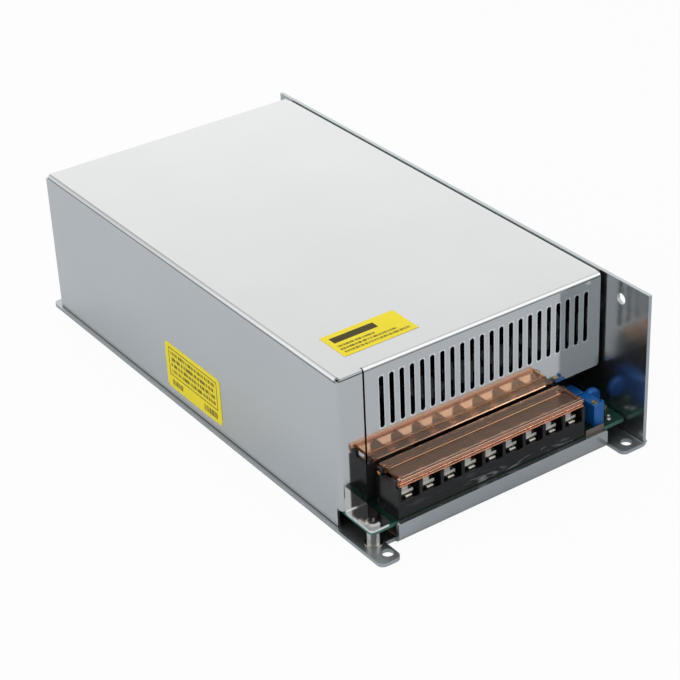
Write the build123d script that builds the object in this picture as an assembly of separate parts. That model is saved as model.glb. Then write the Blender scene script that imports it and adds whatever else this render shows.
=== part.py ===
from build123d import *
import os

# Enclosed switching power supply with a cooling fan and a row of barrier terminals.
# X runs along the terminal row, -Y is the terminal end, +Y the fan end and +Z is up.
# The origin is under the middle of the whole part, on the face it stands on.

# Overall size
length = 242.0
width = 125.0
height = 65.0

# Chassis, one folded sheet: base, right wall, front lip and rear wall
sheet = 1.5
bend_in = 0.8
front_shelf = 25.0
rear_shelf = 6.0
side_strip = 1.3
wall_setback = 0.7
lip_setback = 8.0
lip_height = 8.1
lip_end_radius = 1.2
left_ear = 9.3
right_ear = 12.0
left_relief = 4.5
right_relief = 0.8
ear_radius = 2.5
ear_hole_d = 4.5
ear_hole_inset = 4.75
rear_hole_inset = 4.0
ear_hole_side = 6.25
cheek_hole_d = 4.5
cheek_hole_front = 15.4
cheek_hole_top = 7.4
rear_wall_foot = 7.0

# Cover, one folded sheet: top, left side, slotted panel, corner flange, right fold and rear lugs
cover_sheet = 1.0
cover_bend_in = 0.6
cover_gap = 0.2
side_overhang = 1.2
panel_right_gap = 1.6
panel_gap_over_flip = 0.2
panel_corner_radius = 1.5
corner_flange = 11.1
flange_gap = 0.8
slit = 0.4
slot_pitch = 4.5
slot_width = 2.0
slot_height = 21.3
slot_top_margin = 5.5
slot_side_margin = 5.5
fold_down = 8.0
side_screw_end = 27.0
lug_width = 16.0
lug_spacing = 90.0
notch_depth = 3.1
tab_left_gap = 1.7
tab_width = 8.9
tab_front_gap = 0.1
tab_corner_radius = 1.6

# Circuit board, pillars and screws
board_t = 1.6
board_lift = 5.1
board_left_gap = 1.3
board_right_gap = 0.8
board_front_gap = 0.8
board_rear_gap = 2.3
board_corner_radius = 1.0
board_hole_d = 3.4
board_hole_side = 4.2
board_hole_rear = 6.0
board_hole_front = 23.0
board_hole_middle = 76.0
standoff_d = 5.0
standoff_stub_d = 3.9
standoff_foot_d = 6.6
standoff_foot_h = 0.4
press_clear = 0.05
screw_shank_d = 2.9
screw_hole_clear = 0.05
screw_head_d = 5.8
screw_head_h = 1.9
screw_grip = 5.0
flat_head_h = 1.3
head_clear = 0.02
corner_screw_side = 4.6
corner_screw_front = 12.3
film_t = 0.3
film_gap = 0.2
film_below_lip = 0.3
film_upstand = 2.2
film_side_gap = 0.6

# Terminal row
pole_pitch = 9.5
barrier_t = 1.4
row_from_left = 14.05
adjust_room = 21.0
row_front_gap = 0.6
row_depth = 13.3
row_base_h = 7.3
row_rear_wall = 1.6
row_rear_h = 11.8
barrier_h = 15.3
barrier_front_h = 13.2
barrier_rear_h = 12.0
barrier_clear = 0.4
end_bump_h = 16.2
end_bump_len = 3.3
end_notch_h = 14.3
end_ear_h = 16.4
screw_from_front = 5.2
rail_w = 5.0
rail_t = 0.8
rail_set_in = 1.6
rail_tongue = 1.6
rail_tongue_w = 3.2
rail_pin = 3.0
rail_pin_t = 0.8
rail_pin_out = 1.2
rail_pin_clear = 0.1
clamp_w = 5.1
clamp_gap = 1.1
clamp_t = 0.8
clamp_len = 6.5
clamp_lip = 0.66
term_head_d = 5.8
term_head_h = 2.0
term_shank_d = 3.4

# Flip cover over the terminals
flip_t = 1.1
flip_top = 16.8
flip_front_over = 0.3
flip_fascia_h = 2.8
flip_rear_strip = 4.1
flip_rear_gap = 1.4
flip_left_in = 0.45
flip_end_gap = 0.25
flip_pin_d = 1.6
flip_pin_clear = 0.05
flip_axis_in = 2.0
flip_axis_down = 2.4
flip_knuckle_d = 2.0
flip_knuckle_w = 2.0
flip_boss_r = 1.8
flip_rib = 0.7
flip_rib_pitch = 0.85
flip_rib_count = 3
flip_edge_radius = 0.4
flip_rim_w = 1.3
flip_rim_h = 0.5

# Parts beside the terminals
trimmer_w = 4.8
trimmer_l = 9.5
trimmer_h = 10.0
trimmer_from_row = 6.4
trimmer_set_back = 1.8
trimmer_lift = 0.5
trimmer_foot = 1.0
trimmer_screw_d = 2.4
trimmer_screw_depth = 3.0
trimmer_screw_proud = 0.4
trimmer_screw_in = 1.7
trimmer_clear = 0.05
led_d = 3.0
led_h = 4.6
led_gap = 4.4
led_set_back = 5.0
disc_d = 8.6
disc_t = 3.0
disc_gap = 3.5
disc_front = 1.7
film_cap = (5.0, 7.2, 9.9)
film_cap_gap = 0.8
film_cap_shift = 1.2
lead_d = 0.6
lead_lift = 0.4

# Fan, the largest stock size that fits under the cover, with its screw pitch
fan_stock = {40: 32.0, 50: 40.0, 60: 50.0, 80: 71.5}
fan_depth = 25.0
fan_wall = 1.25
fan_hub_d = 27.0
fan_shaft_d = 3.0
fan_bearing_clear = 0.05
fan_bearing_d = 7.0
fan_blades = 7
fan_tip_gap = 0.9
fan_floor_gap = 0.1
fan_corner_radius = 4.0
fan_screw_d = 3.8
fan_screw_head = (6.6, 2.0)
grille_start = 11.5
grille_ring = 3.5
grille_web = 2.9
grille_bar = 3.0
grille_centre_d = 12.0

# Input side, placed from the left wall, the panel and the board's rear edge
fuse_d = 5.2
fuse_glass_d = 4.8
fuse_l = 20.0
fuse_cap = 5.5
fuse_at = (6.2, 14.0, 5.2)
clip_w = 4.0
clip_wall = 0.5
clip_in = 2.8
choke_ring = (13.5, 8.0, 11.0)
choke_at = (26.2, 34.0, 2.6)
choke_wire = 2.2
choke_turns = 8
thermistor_d = 13.0
thermistor_t = 5.0
thermistor_at = (12.0, 60.0)
line_cap = (24.0, 12.0, 20.0)
line_cap_at = (22.0, 8.0)
y_disc_d = 8.0
y_disc_t = 3.6
y_disc_at = (51.2, 27.0)
y_disc_pitch = 10.0
sink = (32.0, 2.0, 34.0)
sink_fin = (1.4, 7.0)
sink_fins = 5
sink_at = (26.2, 72.0)
bridge = (22.0, 3.6, 18.0)
bridge_lift = 4.0
bridge_lead = (1.2, 0.8, 5.0)
bulk_cap_d = 30.0
bulk_cap_h = 45.0
bulk_cap_from_left = 24.0
bulk_cap_from_rear = 5.0
bulk_cap_gap = 3.5
selector = (6.5, 20.0, 10.2)
selector_gap = 1.7
selector_from_panel = 100.0
selector_travel = 4.0
selector_knob = (4.1, 2.4, 4.0)
selector_out = 1.2
selector_clear = 0.1

# Conversion and output side
core = (42.0, 20.0, 42.0)
core_leg = 12.2
core_window = 8.8
core_yoke = 6.1
core_at = (66.2, 66.0)
core_lift = 3.4
coil_over = 17.6
coil_clear = 0.3
driver_core = (17.0, 5.0, 14.0)
driver_coil = (10.5, 13.0, 9.0)
driver_base = (16.0, 14.0, 2.5)
driver_at = (72.2, 24.0)
coupling_cap = (22.0, 6.0, 16.0)
coupling_at = (59.2, 35.0)
control = (44.0, 1.6, 26.0)
control_at = (82.2, 12.0)
chip = (19.0, 3.0, 6.4)
chip_lift = 10.0
chip_pitch = 21.0
chip_gap = 0.4
chip_legs = 8
chip_leg = (0.6, 2.54, 1.4)
small_cap_d = 8.0
small_cap_h = 12.0
small_cap_at = (86.2, 23.0)
small_cap_pitch = 9.2
small_caps = 3
output_cap_d = 16.0
output_cap_h = 30.0
output_cap_at = (45.7, 11.5)
output_cap_pitch = 18.0
output_caps = 4
inductor_ring = (17.0, 10.5, 14.0)
inductor_at = (80.2, 45.0, 3.0)
inductor_wire = 2.6
inductor_turns = 20
resistor = (5.0, 14.0, 0.9)
resistor_span = 20.0
resistor_at = (46.7, 55.0, 4.0)
resistor_pitch = 8.0
power_body = (5.0, 16.0, 21.0)
power_lift = 5.0
power_screw_h = 12.0
power_lead = (0.6, 1.2, 5.4)
pad_t = 0.3
pad_over = 1.5
bar_t = 3.0
bar_h = 10.0
bar_over = 1.0
rectifiers = 3
rectifier_from_panel = 34.0
rectifier_pitch = 21.0
switches = 2
switch_from_rear = 36.5
switch_pitch = 22.0
plug = (8.0, 6.0, 7.5)
plug_wall = 1.0
plug_pin_d = 0.7
plug_pin_pitch = 2.5
plug_at = (52.2, 7.0)

# Labels
label_t = 0.12
label_radius = 2.0
top_label_size = (32.4, 15.8)
top_label_at = (11.6, 10.9)
side_label_size = (40.6, 20.8)
side_label_at = (80.0, 3.9)

# Planes that follow from the sizes
x_left = -width / 2
x_right = width / 2
y_front = -length / 2
y_rear = length / 2
wall_in = x_right - sheet
wall_front = y_front + wall_setback
cover_left = x_left + side_strip
cover_in_left = cover_left + cover_sheet
panel_y = y_front + front_shelf
panel_in = panel_y + cover_sheet
cover_rear = y_rear - rear_shelf
rear_wall_out = cover_rear - cover_sheet - cover_gap
rear_wall_in = rear_wall_out - sheet
top_rear = cover_rear - cover_sheet
side_rear = top_rear + side_overhang
top_in = height - cover_sheet
lip_out = y_front + lip_setback
lip_in = lip_out + sheet
left_ear_edge = x_left + left_ear
right_ear_edge = x_right - right_ear
lip_left = left_ear_edge + left_relief
lip_right = right_ear_edge - right_relief
flange_right = cover_left + corner_flange
panel_left = flange_right + flange_gap
panel_right = wall_in - panel_right_gap
fold_out = wall_in - cover_gap
fold_z = height - fold_down

# Fan place
fan_room = top_in - sheet - bend_in - 2 * fan_floor_gap
fan_size = max([size for size in fan_stock if size <= fan_room])
fan_pitch = fan_stock[fan_size]
fan_bore = fan_size - 2 * fan_wall
fan_x = 0.0
fan_y = rear_wall_in - fan_depth
fan_z = sheet + bend_in + fan_floor_gap + fan_size / 2

# Board place
board_bottom = sheet + board_lift
board_top = board_bottom + board_t
board_left = cover_in_left + board_left_gap
board_right = wall_in - board_right_gap
board_front = lip_in + board_front_gap
board_rear = fan_y - board_rear_gap
tab_left = cover_left + tab_left_gap
tab_right = tab_left + tab_width
tab_front = lip_in + tab_front_gap
tab_top = board_top + cover_sheet
corner_screw = (cover_left + corner_screw_side, panel_y - corner_screw_front)

# Terminal row place; the width decides how many poles fit
row_left = cover_left + row_from_left
poles = int((wall_in - adjust_room - barrier_t - row_left) / pole_pitch)
row_len = poles * pole_pitch + barrier_t
row_right = row_left + row_len
row_front = lip_in + row_front_gap
row_rear = row_front + row_depth
rail_z = board_top + row_base_h
clamp_z = rail_z + rail_t + clamp_gap
head_z = clamp_z + clamp_t
screw_y = row_front + screw_from_front
pin_y = row_rear - row_rear_wall - 1.4
pole_x = [row_left + barrier_t / 2 + pole_pitch * (i + 0.5) for i in range(poles)]

# Flip cover place
flip_front = row_front - flip_front_over
flip_rear = panel_y - flip_rear_gap
flip_z = board_top + flip_top
panel_bottom = flip_z + panel_gap_over_flip
hinge_y = flip_rear - flip_axis_in
hinge_z = flip_z - flip_axis_down
strip_front = flip_rear - flip_rear_strip

# Trimmer place
trimmer_left = row_right + trimmer_from_row
trimmer_front = row_front + trimmer_set_back
trimmer_top = board_top + trimmer_h
trimmer_x = trimmer_left + trimmer_screw_in
trimmer_y = trimmer_front + trimmer_screw_in

# Rows of power devices on the right wall
rectifier_y = [panel_in + rectifier_from_panel + i * rectifier_pitch for i in range(rectifiers)]
switch_y = [board_rear - switch_from_rear - i * switch_pitch for i in reversed(range(switches))]

# Screw points of the board; the first one is under the cover's corner foot
board_right_hole = board_right - board_hole_side
board_points = [
    corner_screw,
    (board_right_hole, panel_in + board_hole_front),
    (corner_screw[0], panel_in + board_hole_middle),
    (board_right_hole, (rectifier_y[-1] + switch_y[0]) / 2),
    (corner_screw[0], board_rear - board_hole_rear),
    (board_right_hole, board_rear - board_hole_rear),
]


def block(x0, x1, y0, y1, z0, z1):
    """A box between two corners."""
    centre = ((x0 + x1) / 2, (y0 + y1) / 2, (z0 + z1) / 2)
    return Pos(*centre) * Box(x1 - x0, y1 - y0, z1 - z0)


def rod_z(x, y, z0, z1, d):
    """A round bar standing on z0."""
    return Pos(x, y, (z0 + z1) / 2) * Cylinder(d / 2, z1 - z0)


def rod_y(x, z, y0, y1, d):
    """A round bar along Y."""
    return Pos(x, (y0 + y1) / 2, z) * Rot(90, 0, 0) * Cylinder(d / 2, y1 - y0)


def rod_x(y, z, x0, x1, d):
    """A round bar along X."""
    return Pos((x0 + x1) / 2, y, z) * Rot(0, 90, 0) * Cylinder(d / 2, x1 - x0)


def near(shape, axis, **at):
    """Edges along one axis whose middle lies at the given places."""
    found = []
    for edge in shape.edges().filter_by(axis):
        middle = edge.center()
        spots = {"x": middle.X, "y": middle.Y, "z": middle.Z}
        if all(abs(spots[k] - v) < 0.02 for k, v in at.items()):
            found.append(edge)
    return found


def rims(shape):
    """The round edges of a shape."""
    return shape.edges().filter_by(GeomType.CIRCLE)


def profile_x(points, x0, x1):
    """A closed outline in Y and Z, drawn out along X."""
    face = make_face(Plane.YZ * Polyline(*points, close=True))
    return Pos(x0, 0, 0) * extrude(face, amount=x1 - x0, dir=(1, 0, 0))


def folded_up(y_out, side, z_top, x0, x1, reach=12.0):
    """A flange folded up from the base; side is 1 when the base lies towards +Y."""
    outer = sheet + bend_in
    bar = block(x0, x1, min(y_out, y_out + side * reach), max(y_out, y_out + side * reach), 0, z_top)
    y_in = y_out + side * sheet
    far = y_out + side * (reach + 1)
    inner = block(x0 - 1, x1 + 1, min(y_in, far), max(y_in, far), sheet, z_top + 1)
    bar = fillet(near(bar, Axis.X, y=y_out, z=0), outer)
    inner = fillet(near(inner, Axis.X, y=y_in, z=sheet), bend_in)
    return bar - inner


def grille_cut():
    """Arc slots of the fan grille: rings crossed by four bars, with a round hole in the middle."""
    y0 = rear_wall_in - 1
    y1 = rear_wall_out + 1
    cut = rod_y(fan_x, fan_z, y0, y1, grille_centre_d)
    rings = int((fan_bore / 2 - grille_start + grille_web) / (grille_ring + grille_web))
    for step in range(rings):
        r_in = grille_start + step * (grille_ring + grille_web)
        ring = rod_y(fan_x, fan_z, y0, y1, 2 * (r_in + grille_ring)) - rod_y(fan_x, fan_z, y0, y1, 2 * r_in)
        cut = cut + ring
    bars = Box(fan_size, 8, grille_bar) + Box(grille_bar, 8, fan_size)
    bars = Rot(0, 45, 0) * bars - rod_y(0, 0, -5, 5, grille_centre_d + 1)
    return cut - Pos(fan_x, rear_wall_out, fan_z) * bars


def chassis():
    """Base plate, right wall, front lip between two ears, rear wall between two ears."""
    shape = block(x_left, x_right, y_front, y_rear, 0, height)
    room = block(x_left - 1, wall_in, y_front - 1, y_rear + 1, sheet, height + 1)
    shape = fillet(near(shape, Axis.Y, x=x_right, z=0), sheet + bend_in)
    room = fillet(near(room, Axis.Y, x=wall_in, z=sheet), bend_in)
    shape = shape - room
    shape = shape - block(wall_in - 1, x_right + 1, y_front - 1, wall_front, sheet + bend_in, height + 1)
    front_relief = lip_in + bend_in
    shape = shape - block(left_ear_edge, right_ear_edge, y_front - 1, front_relief, -1, sheet + 1)
    rear_relief = rear_wall_in - bend_in
    shape = shape - block(left_ear_edge, right_ear_edge, rear_relief, y_rear + 1, -1, sheet + 1)
    lip = folded_up(lip_out, 1, lip_height, lip_left, lip_right)
    ends = near(lip, Axis.Y, x=lip_left, z=lip_height) + near(lip, Axis.Y, x=lip_right, z=lip_height)
    shape = shape + fillet(ends, lip_end_radius)
    rear_top = top_in - cover_gap
    shape = shape + folded_up(rear_wall_out, -1, rear_top, left_ear_edge + right_relief,
                              right_ear_edge - right_relief)
    shape = shape + block(cover_in_left + cover_gap, wall_in - cover_gap, rear_wall_in, rear_wall_out,
                          rear_wall_foot, rear_top)
    corners = []
    for y in (y_front, y_rear):
        for x in (x_left, left_ear_edge, right_ear_edge):
            corners += near(shape, Axis.Z, x=x, y=y)
    return fillet(corners, ear_radius) - chassis_holes()


def ear_holes():
    """Centres of the four fixing holes in the ears."""
    xs = (x_left + ear_hole_side, x_right - ear_hole_side)
    ys = (y_front + ear_hole_inset, y_rear - rear_hole_inset)
    return [(x, y) for x in xs for y in ys]


def side_screw_points():
    """Y and Z of the screws that hold the cover's right fold."""
    z = height - fold_down / 2
    middle = (panel_y + cover_rear) / 2
    return [(panel_y + side_screw_end, z), (middle, z), (cover_rear - side_screw_end, z)]


def rear_screw_points():
    """X and Z of the screws that hold the cover's rear lugs."""
    z = height - fold_down / 2 - 0.5
    return [(-lug_spacing / 2, z), (lug_spacing / 2, z)]


def fan_points():
    """X and Z of the fan's corner screws."""
    h = fan_pitch / 2
    return [(fan_x + i * h, fan_z + j * h) for i in (-1, 1) for j in (-1, 1)]


def countersunk(y, z, grow=0.0):
    """Flat head screw form, let into the right wall from outside."""
    middle = x_right - flat_head_h / 2
    cone = Cone(screw_shank_d / 2 + grow, screw_head_d / 2 + grow, flat_head_h)
    return Pos(middle, y, z) * Rot(0, 90, 0) * cone


def chassis_holes():
    """Every hole in the chassis, as one cutting shape."""
    cuts = [rod_z(x, y, -1, sheet + 1, ear_hole_d) for x, y in ear_holes()]
    cuts += [rod_z(x, y, -1, sheet + 1, standoff_stub_d + 2 * press_clear) for x, y in board_points]
    cheek = (y_front + cheek_hole_front, height - cheek_hole_top)
    cuts.append(rod_x(cheek[0], cheek[1], wall_in - 1, x_right + 1, cheek_hole_d))
    for y, z in side_screw_points() + clamp_screw_points():
        cuts.append(rod_x(y, z, wall_in - 1, x_right + 1, screw_shank_d + 4 * screw_hole_clear))
        cuts.append(countersunk(y, z, head_clear))
    for x, z in rear_screw_points():
        cuts.append(rod_y(x, z, rear_wall_in - 1, rear_wall_out + 1, screw_shank_d + 2 * screw_hole_clear))
    for x, z in fan_points():
        cuts.append(rod_y(x, z, rear_wall_in - 1, rear_wall_out + 1, fan_screw_d + 8 * screw_hole_clear))
    cuts.append(grille_cut())
    return Compound(children=[c for c in cuts])


def cover_shell():
    """The closed box form of the cover with all its folds, open below."""
    out = block(cover_left, fold_out, panel_y, cover_rear, sheet, height)
    rear_in = cover_rear - cover_sheet
    gap = block(cover_in_left, fold_out - cover_sheet, panel_in, rear_in, sheet - 5, top_in)

    def folds(shape, x0, x1, y0, y1, top):
        picked = near(shape, Axis.Y, x=x0, z=top) + near(shape, Axis.Y, x=x1, z=top)
        picked += near(shape, Axis.X, y=y0, z=top) + near(shape, Axis.X, y=y1, z=top)
        return picked + near(shape, Axis.Z, x=x0, y=y0)

    out = fillet(folds(out, cover_left, fold_out, panel_y, cover_rear, height), cover_sheet + cover_bend_in)
    picked = folds(gap, cover_in_left, fold_out - cover_sheet, panel_in, rear_in, top_in)
    gap = fillet(picked, cover_bend_in)
    return out - gap


def rear_trims():
    """What leaves two lugs at the rear, with a plain side and top beside them."""
    back = cover_rear - cover_sheet - cover_bend_in
    far = cover_rear + 1
    half = lug_width / 2
    lugs = lug_spacing / 2
    low = sheet - 6
    cuts = [block(cover_in_left, fold_out + 1, back, far, low, fold_z),
            block(fold_out - cover_sheet - cover_bend_in, fold_out + 1, rear_wall_in - 1, far, low,
                  height + 1)]
    for x0, x1 in ((cover_left - 1, -lugs - half), (half - lugs, lugs - half), (lugs + half, fold_out + 1)):
        cuts.append(block(x0, x1, back, far, low, height + 1))
    return cuts


def front_trims():
    """What frees the panel and the corner flange from their neighbours."""
    front = panel_y - 1
    low = sheet - 6
    edge = cover_sheet + cover_bend_in
    return [
        block(panel_right, fold_out + 1, front, panel_in + 2, fold_z - 1, height + 1),
        block(flange_right, panel_left, front, panel_in + cover_bend_in, low, height + 1),
        block(flange_right, fold_out + 1, front, panel_in + 0.01, low, panel_bottom),
        block(cover_left - 1, flange_right + 0.01, front, panel_in + 0.01, top_in - slit, top_in),
        block(cover_left - 1, cover_left + edge, front, panel_y + edge, top_in - slit, height + 1),
        block(cover_left - 1, panel_left, front, panel_y + notch_depth, low, tab_top + 0.5),
    ]


def panel_slots():
    """Upright round ended slots, as many as the panel's width gives room for."""
    room = panel_right - panel_left - 2 * slot_side_margin - slot_width
    count = int(room / slot_pitch) + 1
    start = (panel_left + panel_right) / 2 - (count - 1) * slot_pitch / 2
    z_mid = height - slot_top_margin - slot_height / 2
    straight = slot_height - slot_width
    one = Box(slot_width, 4, straight)
    for end in (-1, 1):
        one = one + Pos(0, 0, end * straight / 2) * Rot(90, 0, 0) * Cylinder(slot_width / 2, 4)
    return [Pos(start + i * slot_pitch, panel_y + cover_sheet / 2, z_mid) * one for i in range(count)]


def corner_tab():
    """Foot of the corner flange, folded forward over the board and screwed down."""
    z0 = board_top
    bar = block(tab_left, tab_right, tab_front, panel_in, z0, z0 + 12)
    room = block(tab_left - 1, tab_right + 1, tab_front - 1, panel_y, tab_top, z0 + 13)
    bar = fillet(near(bar, Axis.X, y=panel_in, z=z0), cover_sheet + cover_bend_in)
    room = fillet(near(room, Axis.X, y=panel_y, z=tab_top), cover_bend_in)
    tab = bar - room
    ends = near(tab, Axis.Z, x=tab_left, y=tab_front) + near(tab, Axis.Z, x=tab_right, y=tab_front)
    tab = fillet(ends, tab_corner_radius)
    return tab - rod_z(corner_screw[0], corner_screw[1], z0 - 1, tab_top + 1, board_hole_d)


def cover():
    """Top, left side, slotted panel, corner flange with foot, right fold and two rear lugs."""
    edge = cover_sheet + cover_bend_in
    shape = cover_shell() + block(cover_left + edge, flange_right, panel_y, panel_in + 1, top_in, height)
    shape = shape - block(panel_right, fold_out + 1, panel_y - 1, cover_rear + 1, sheet - 6, fold_z)
    shape = shape - front_trims() - rear_trims()
    back = cover_rear - cover_sheet - cover_bend_in
    shape = shape + block(cover_left, cover_in_left, back - 1, side_rear, sheet, height - edge)
    shape = shape + block(cover_in_left, fold_out - edge, back - 1, top_rear, top_in, height)
    shape = fillet(near(shape, Axis.Y, x=panel_right, z=panel_bottom), panel_corner_radius)
    shape = shape - panel_slots()
    holes = [rod_x(y, z, panel_right, x_right, screw_shank_d + 2 * screw_hole_clear)
             for y, z in side_screw_points()]
    for x, z in rear_screw_points():
        holes.append(rod_y(x, z, cover_rear - 2, cover_rear + 1, screw_shank_d + 6 * screw_hole_clear))
    return shape - holes + corner_tab()


def cross_cut(x, y, z_top, size, depth):
    """Cross recess cut into a screw head from above."""
    bar = Box(size, size * 0.22, depth) + Box(size * 0.22, size, depth)
    return Pos(x, y, z_top - depth / 2) * Rot(0, 0, 40) * bar


def pan_screw(x, y, z_seat, shank, head_d, head_h, shank_d):
    """Pan head screw standing in Z with its head seated at z_seat."""
    head = rod_z(x, y, z_seat, z_seat + head_h, head_d)
    head = chamfer(rims(head).sort_by(Axis.Z)[-1], head_h * 0.4)
    head = head - cross_cut(x, y, z_seat + head_h, head_d * 0.62, head_h * 0.55)
    return head + rod_z(x, y, z_seat - shank, z_seat + 0.1, shank_d)


def standoffs():
    """Threaded pillars pressed into the base under the board."""
    pillars = []
    for x, y in board_points:
        one = rod_z(x, y, sheet, board_bottom, standoff_d) + rod_z(x, y, 0.1, sheet + 0.1, standoff_stub_d)
        one = one + rod_z(x, y, sheet, sheet + standoff_foot_h, standoff_foot_d)
        pillars.append(one - rod_z(x, y, 0, board_bottom + 1, screw_shank_d + 2 * screw_hole_clear))
    return pillars


def board_screws():
    """Screws that hold the board to its pillars."""
    return [pan_screw(x, y, board_top, screw_grip, screw_head_d, screw_head_h, screw_shank_d)
            for x, y in board_points[1:]]


def cover_corner_screw():
    """The screw through the corner foot, the board and its pillar."""
    x, y = corner_screw
    return pan_screw(x, y, tab_top, screw_grip + cover_sheet, screw_head_d, screw_head_h, screw_shank_d)


def side_screws():
    """Flat head screws through the right wall into the cover's fold."""
    return [countersunk(y, z) + rod_x(y, z, wall_in - 4, x_right - 0.8, screw_shank_d)
            for y, z in side_screw_points()]


def rear_screws():
    """Pan head screws through the cover's rear lugs."""
    made = []
    for x, z in rear_screw_points():
        head = rod_y(x, z, cover_rear, cover_rear + screw_head_h, screw_head_d)
        made.append(head + rod_y(x, z, rear_wall_in - 2.5, cover_rear + 0.1, screw_shank_d))
    return made


def circuit_board():
    """Main board with its screw holes and the slots for the terminal pins."""
    shape = block(board_left, board_right, board_front, board_rear, board_bottom, board_top)
    shape = fillet(shape.edges().filter_by(Axis.Z), board_corner_radius)
    z0 = board_bottom - 1
    z1 = board_top + 1
    cuts = [rod_z(x, y, z0, z1, board_hole_d) for x, y in board_points]
    half_w = rail_pin / 2 + 2 * rail_pin_clear
    half_t = rail_pin_t / 2 + 2 * rail_pin_clear
    for x in pole_x:
        cuts.append(block(x - half_w, x + half_w, pin_y - half_t, pin_y + half_t, z0, z1))
    return shape - cuts


def insulation_sheet():
    """Thin film under the board, turned up behind the lip."""
    x0 = lip_left + film_side_gap
    x1 = lip_right - film_side_gap
    y0 = lip_in + film_gap
    y1 = y0 + film_t
    top = lip_height - film_below_lip
    shape = block(x0, x1, y0, board_rear, sheet, top)
    shape = shape + block(row_right + film_side_gap, x1, y0, y1, top - 1, board_top + film_upstand)
    room = block(x0 - 1, x1 + 1, y1, board_rear + 1, sheet + film_t, top + 4)
    shape = fillet(near(shape, Axis.X, y=y0, z=sheet), bend_in)
    room = fillet(near(room, Axis.X, y=y1, z=sheet + film_t), bend_in - film_t)
    return shape - room


def hinge_ear(x0):
    """End ear that carries one pin of the flip cover."""
    y0 = hinge_y - flip_boss_r
    y1 = hinge_y + flip_boss_r
    z0 = board_top + barrier_front_h - 3
    z1 = board_top + end_ear_h
    cut = flip_boss_r * 0.4
    outline = [(y0, z0), (y0, z1 - cut), (y0 + cut, z1), (y1 - cut, z1), (y1, z1 - cut), (y1, z0)]
    return profile_x(outline, x0, x0 + barrier_t)


def end_plate(x0):
    """Outer wall of the row: low behind the fascia's foot, a bump, a notch and the hinge ear."""
    y0 = flip_front + flip_t + barrier_clear
    y1 = y0 + end_bump_len
    rear = row_rear - row_rear_wall + 0.1
    z0 = rail_z - 0.1
    z_low = board_top + barrier_front_h
    z_bump = board_top + end_bump_h
    z_notch = board_top + end_notch_h
    z_rear = board_top + barrier_rear_h
    outline = [(row_front, z0), (row_front, z_low), (y0, z_low), (y0, z_bump - 0.5), (y0 + 0.5, z_bump),
               (y1 - 0.5, z_bump), (y1, z_bump - 0.5), (y1, z_notch), (hinge_y - 1, z_notch),
               (hinge_y - 1, z_rear), (rear, z_rear), (rear, z0)]
    return profile_x(outline, x0, x0 + barrier_t) + hinge_ear(x0)


def terminal_body():
    """Black moulding: base, rear wall, barriers between the poles and hinge ears at the ends."""
    base = block(row_left, row_right, row_front, row_rear, board_top, rail_z)
    rear_in = row_rear - row_rear_wall
    shape = base + block(row_left, row_right, rear_in, row_rear, rail_z - 0.1, board_top + row_rear_h)
    z_low = board_top + barrier_front_h
    z_high = board_top + barrier_h
    z_rear = board_top + barrier_rear_h
    step_in = flip_front + flip_t + barrier_clear
    step_out = strip_front - barrier_clear
    hook = [(row_front, rail_z - 0.1), (row_front, z_low), (step_in, z_low), (step_in, z_high),
            (step_out, z_high), (step_out, z_rear), (rear_in + 0.1, z_rear), (rear_in + 0.1, rail_z - 0.1)]
    for i in range(1, poles):
        x0 = row_left + i * pole_pitch
        shape = shape + profile_x(hook, x0, x0 + barrier_t)
    for x0 in (row_left, row_right - barrier_t):
        bore = rod_x(hinge_y, hinge_z, x0 - 1, x0 + barrier_t + 1, flip_pin_d + 2 * flip_pin_clear)
        shape = shape + end_plate(x0) - bore
    half_w = rail_pin / 2 + rail_pin_clear
    half_t = rail_pin_t / 2 + rail_pin_clear
    for x in pole_x:
        shape = shape - rod_z(x, screw_y, board_top + 1.0, rail_z + 1, term_shank_d + 2 * rail_pin_clear)
        shape = shape - block(x - half_w, x + half_w, pin_y - half_t, pin_y + half_t,
                              board_top - 1, rail_z + 0.1)
    return shape


def terminal_rails():
    """Tinned contact plates, each with a pin down through the board."""
    rails = []
    half = rail_w / 2
    pin = rail_pin / 2
    y0 = row_front + rail_set_in
    y1 = pin_y + rail_pin_t / 2
    tip = rail_tongue_w / 2
    for x in pole_x:
        plate = block(x - half, x + half, y0 + rail_tongue, y1, rail_z, rail_z + rail_t)
        plate = plate + block(x - tip, x + tip, y0, y0 + rail_tongue + 0.1, rail_z, rail_z + rail_t)
        leg = block(x - pin, x + pin, y1 - rail_pin_t, y1, board_bottom - rail_pin_out, rail_z + rail_t)
        hole = rod_z(x, screw_y, rail_z - 1, rail_z + 2, term_shank_d + 2 * rail_pin_clear)
        rails.append(plate + leg - hole)
    return rails


def terminal_clamps():
    """Saddle plates under the screw heads, edges turned down to grip a wire."""
    clamps = []
    y0 = screw_y - clamp_len / 2
    y1 = screw_y + clamp_len / 2
    drop = clamp_z - clamp_lip
    outline = [(y0, drop), (y0, head_z), (y1, head_z), (y1, drop), (y1 - clamp_t, drop),
               (y1 - clamp_t, clamp_z), (y0 + clamp_t, clamp_z), (y0 + clamp_t, drop)]
    for x in pole_x:
        one = profile_x(outline, x - clamp_w / 2, x + clamp_w / 2)
        hole = rod_z(x, screw_y, clamp_z - 2, head_z + 1, term_shank_d + 2 * rail_pin_clear)
        clamps.append(one - hole)
    return clamps


def terminal_screws():
    """Clamp screws with cross recesses, one to each pole."""
    shank = head_z - board_top - 1.6
    return [pan_screw(x, screw_y, head_z, shank, term_head_d, term_head_h, term_shank_d) for x in pole_x]


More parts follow.
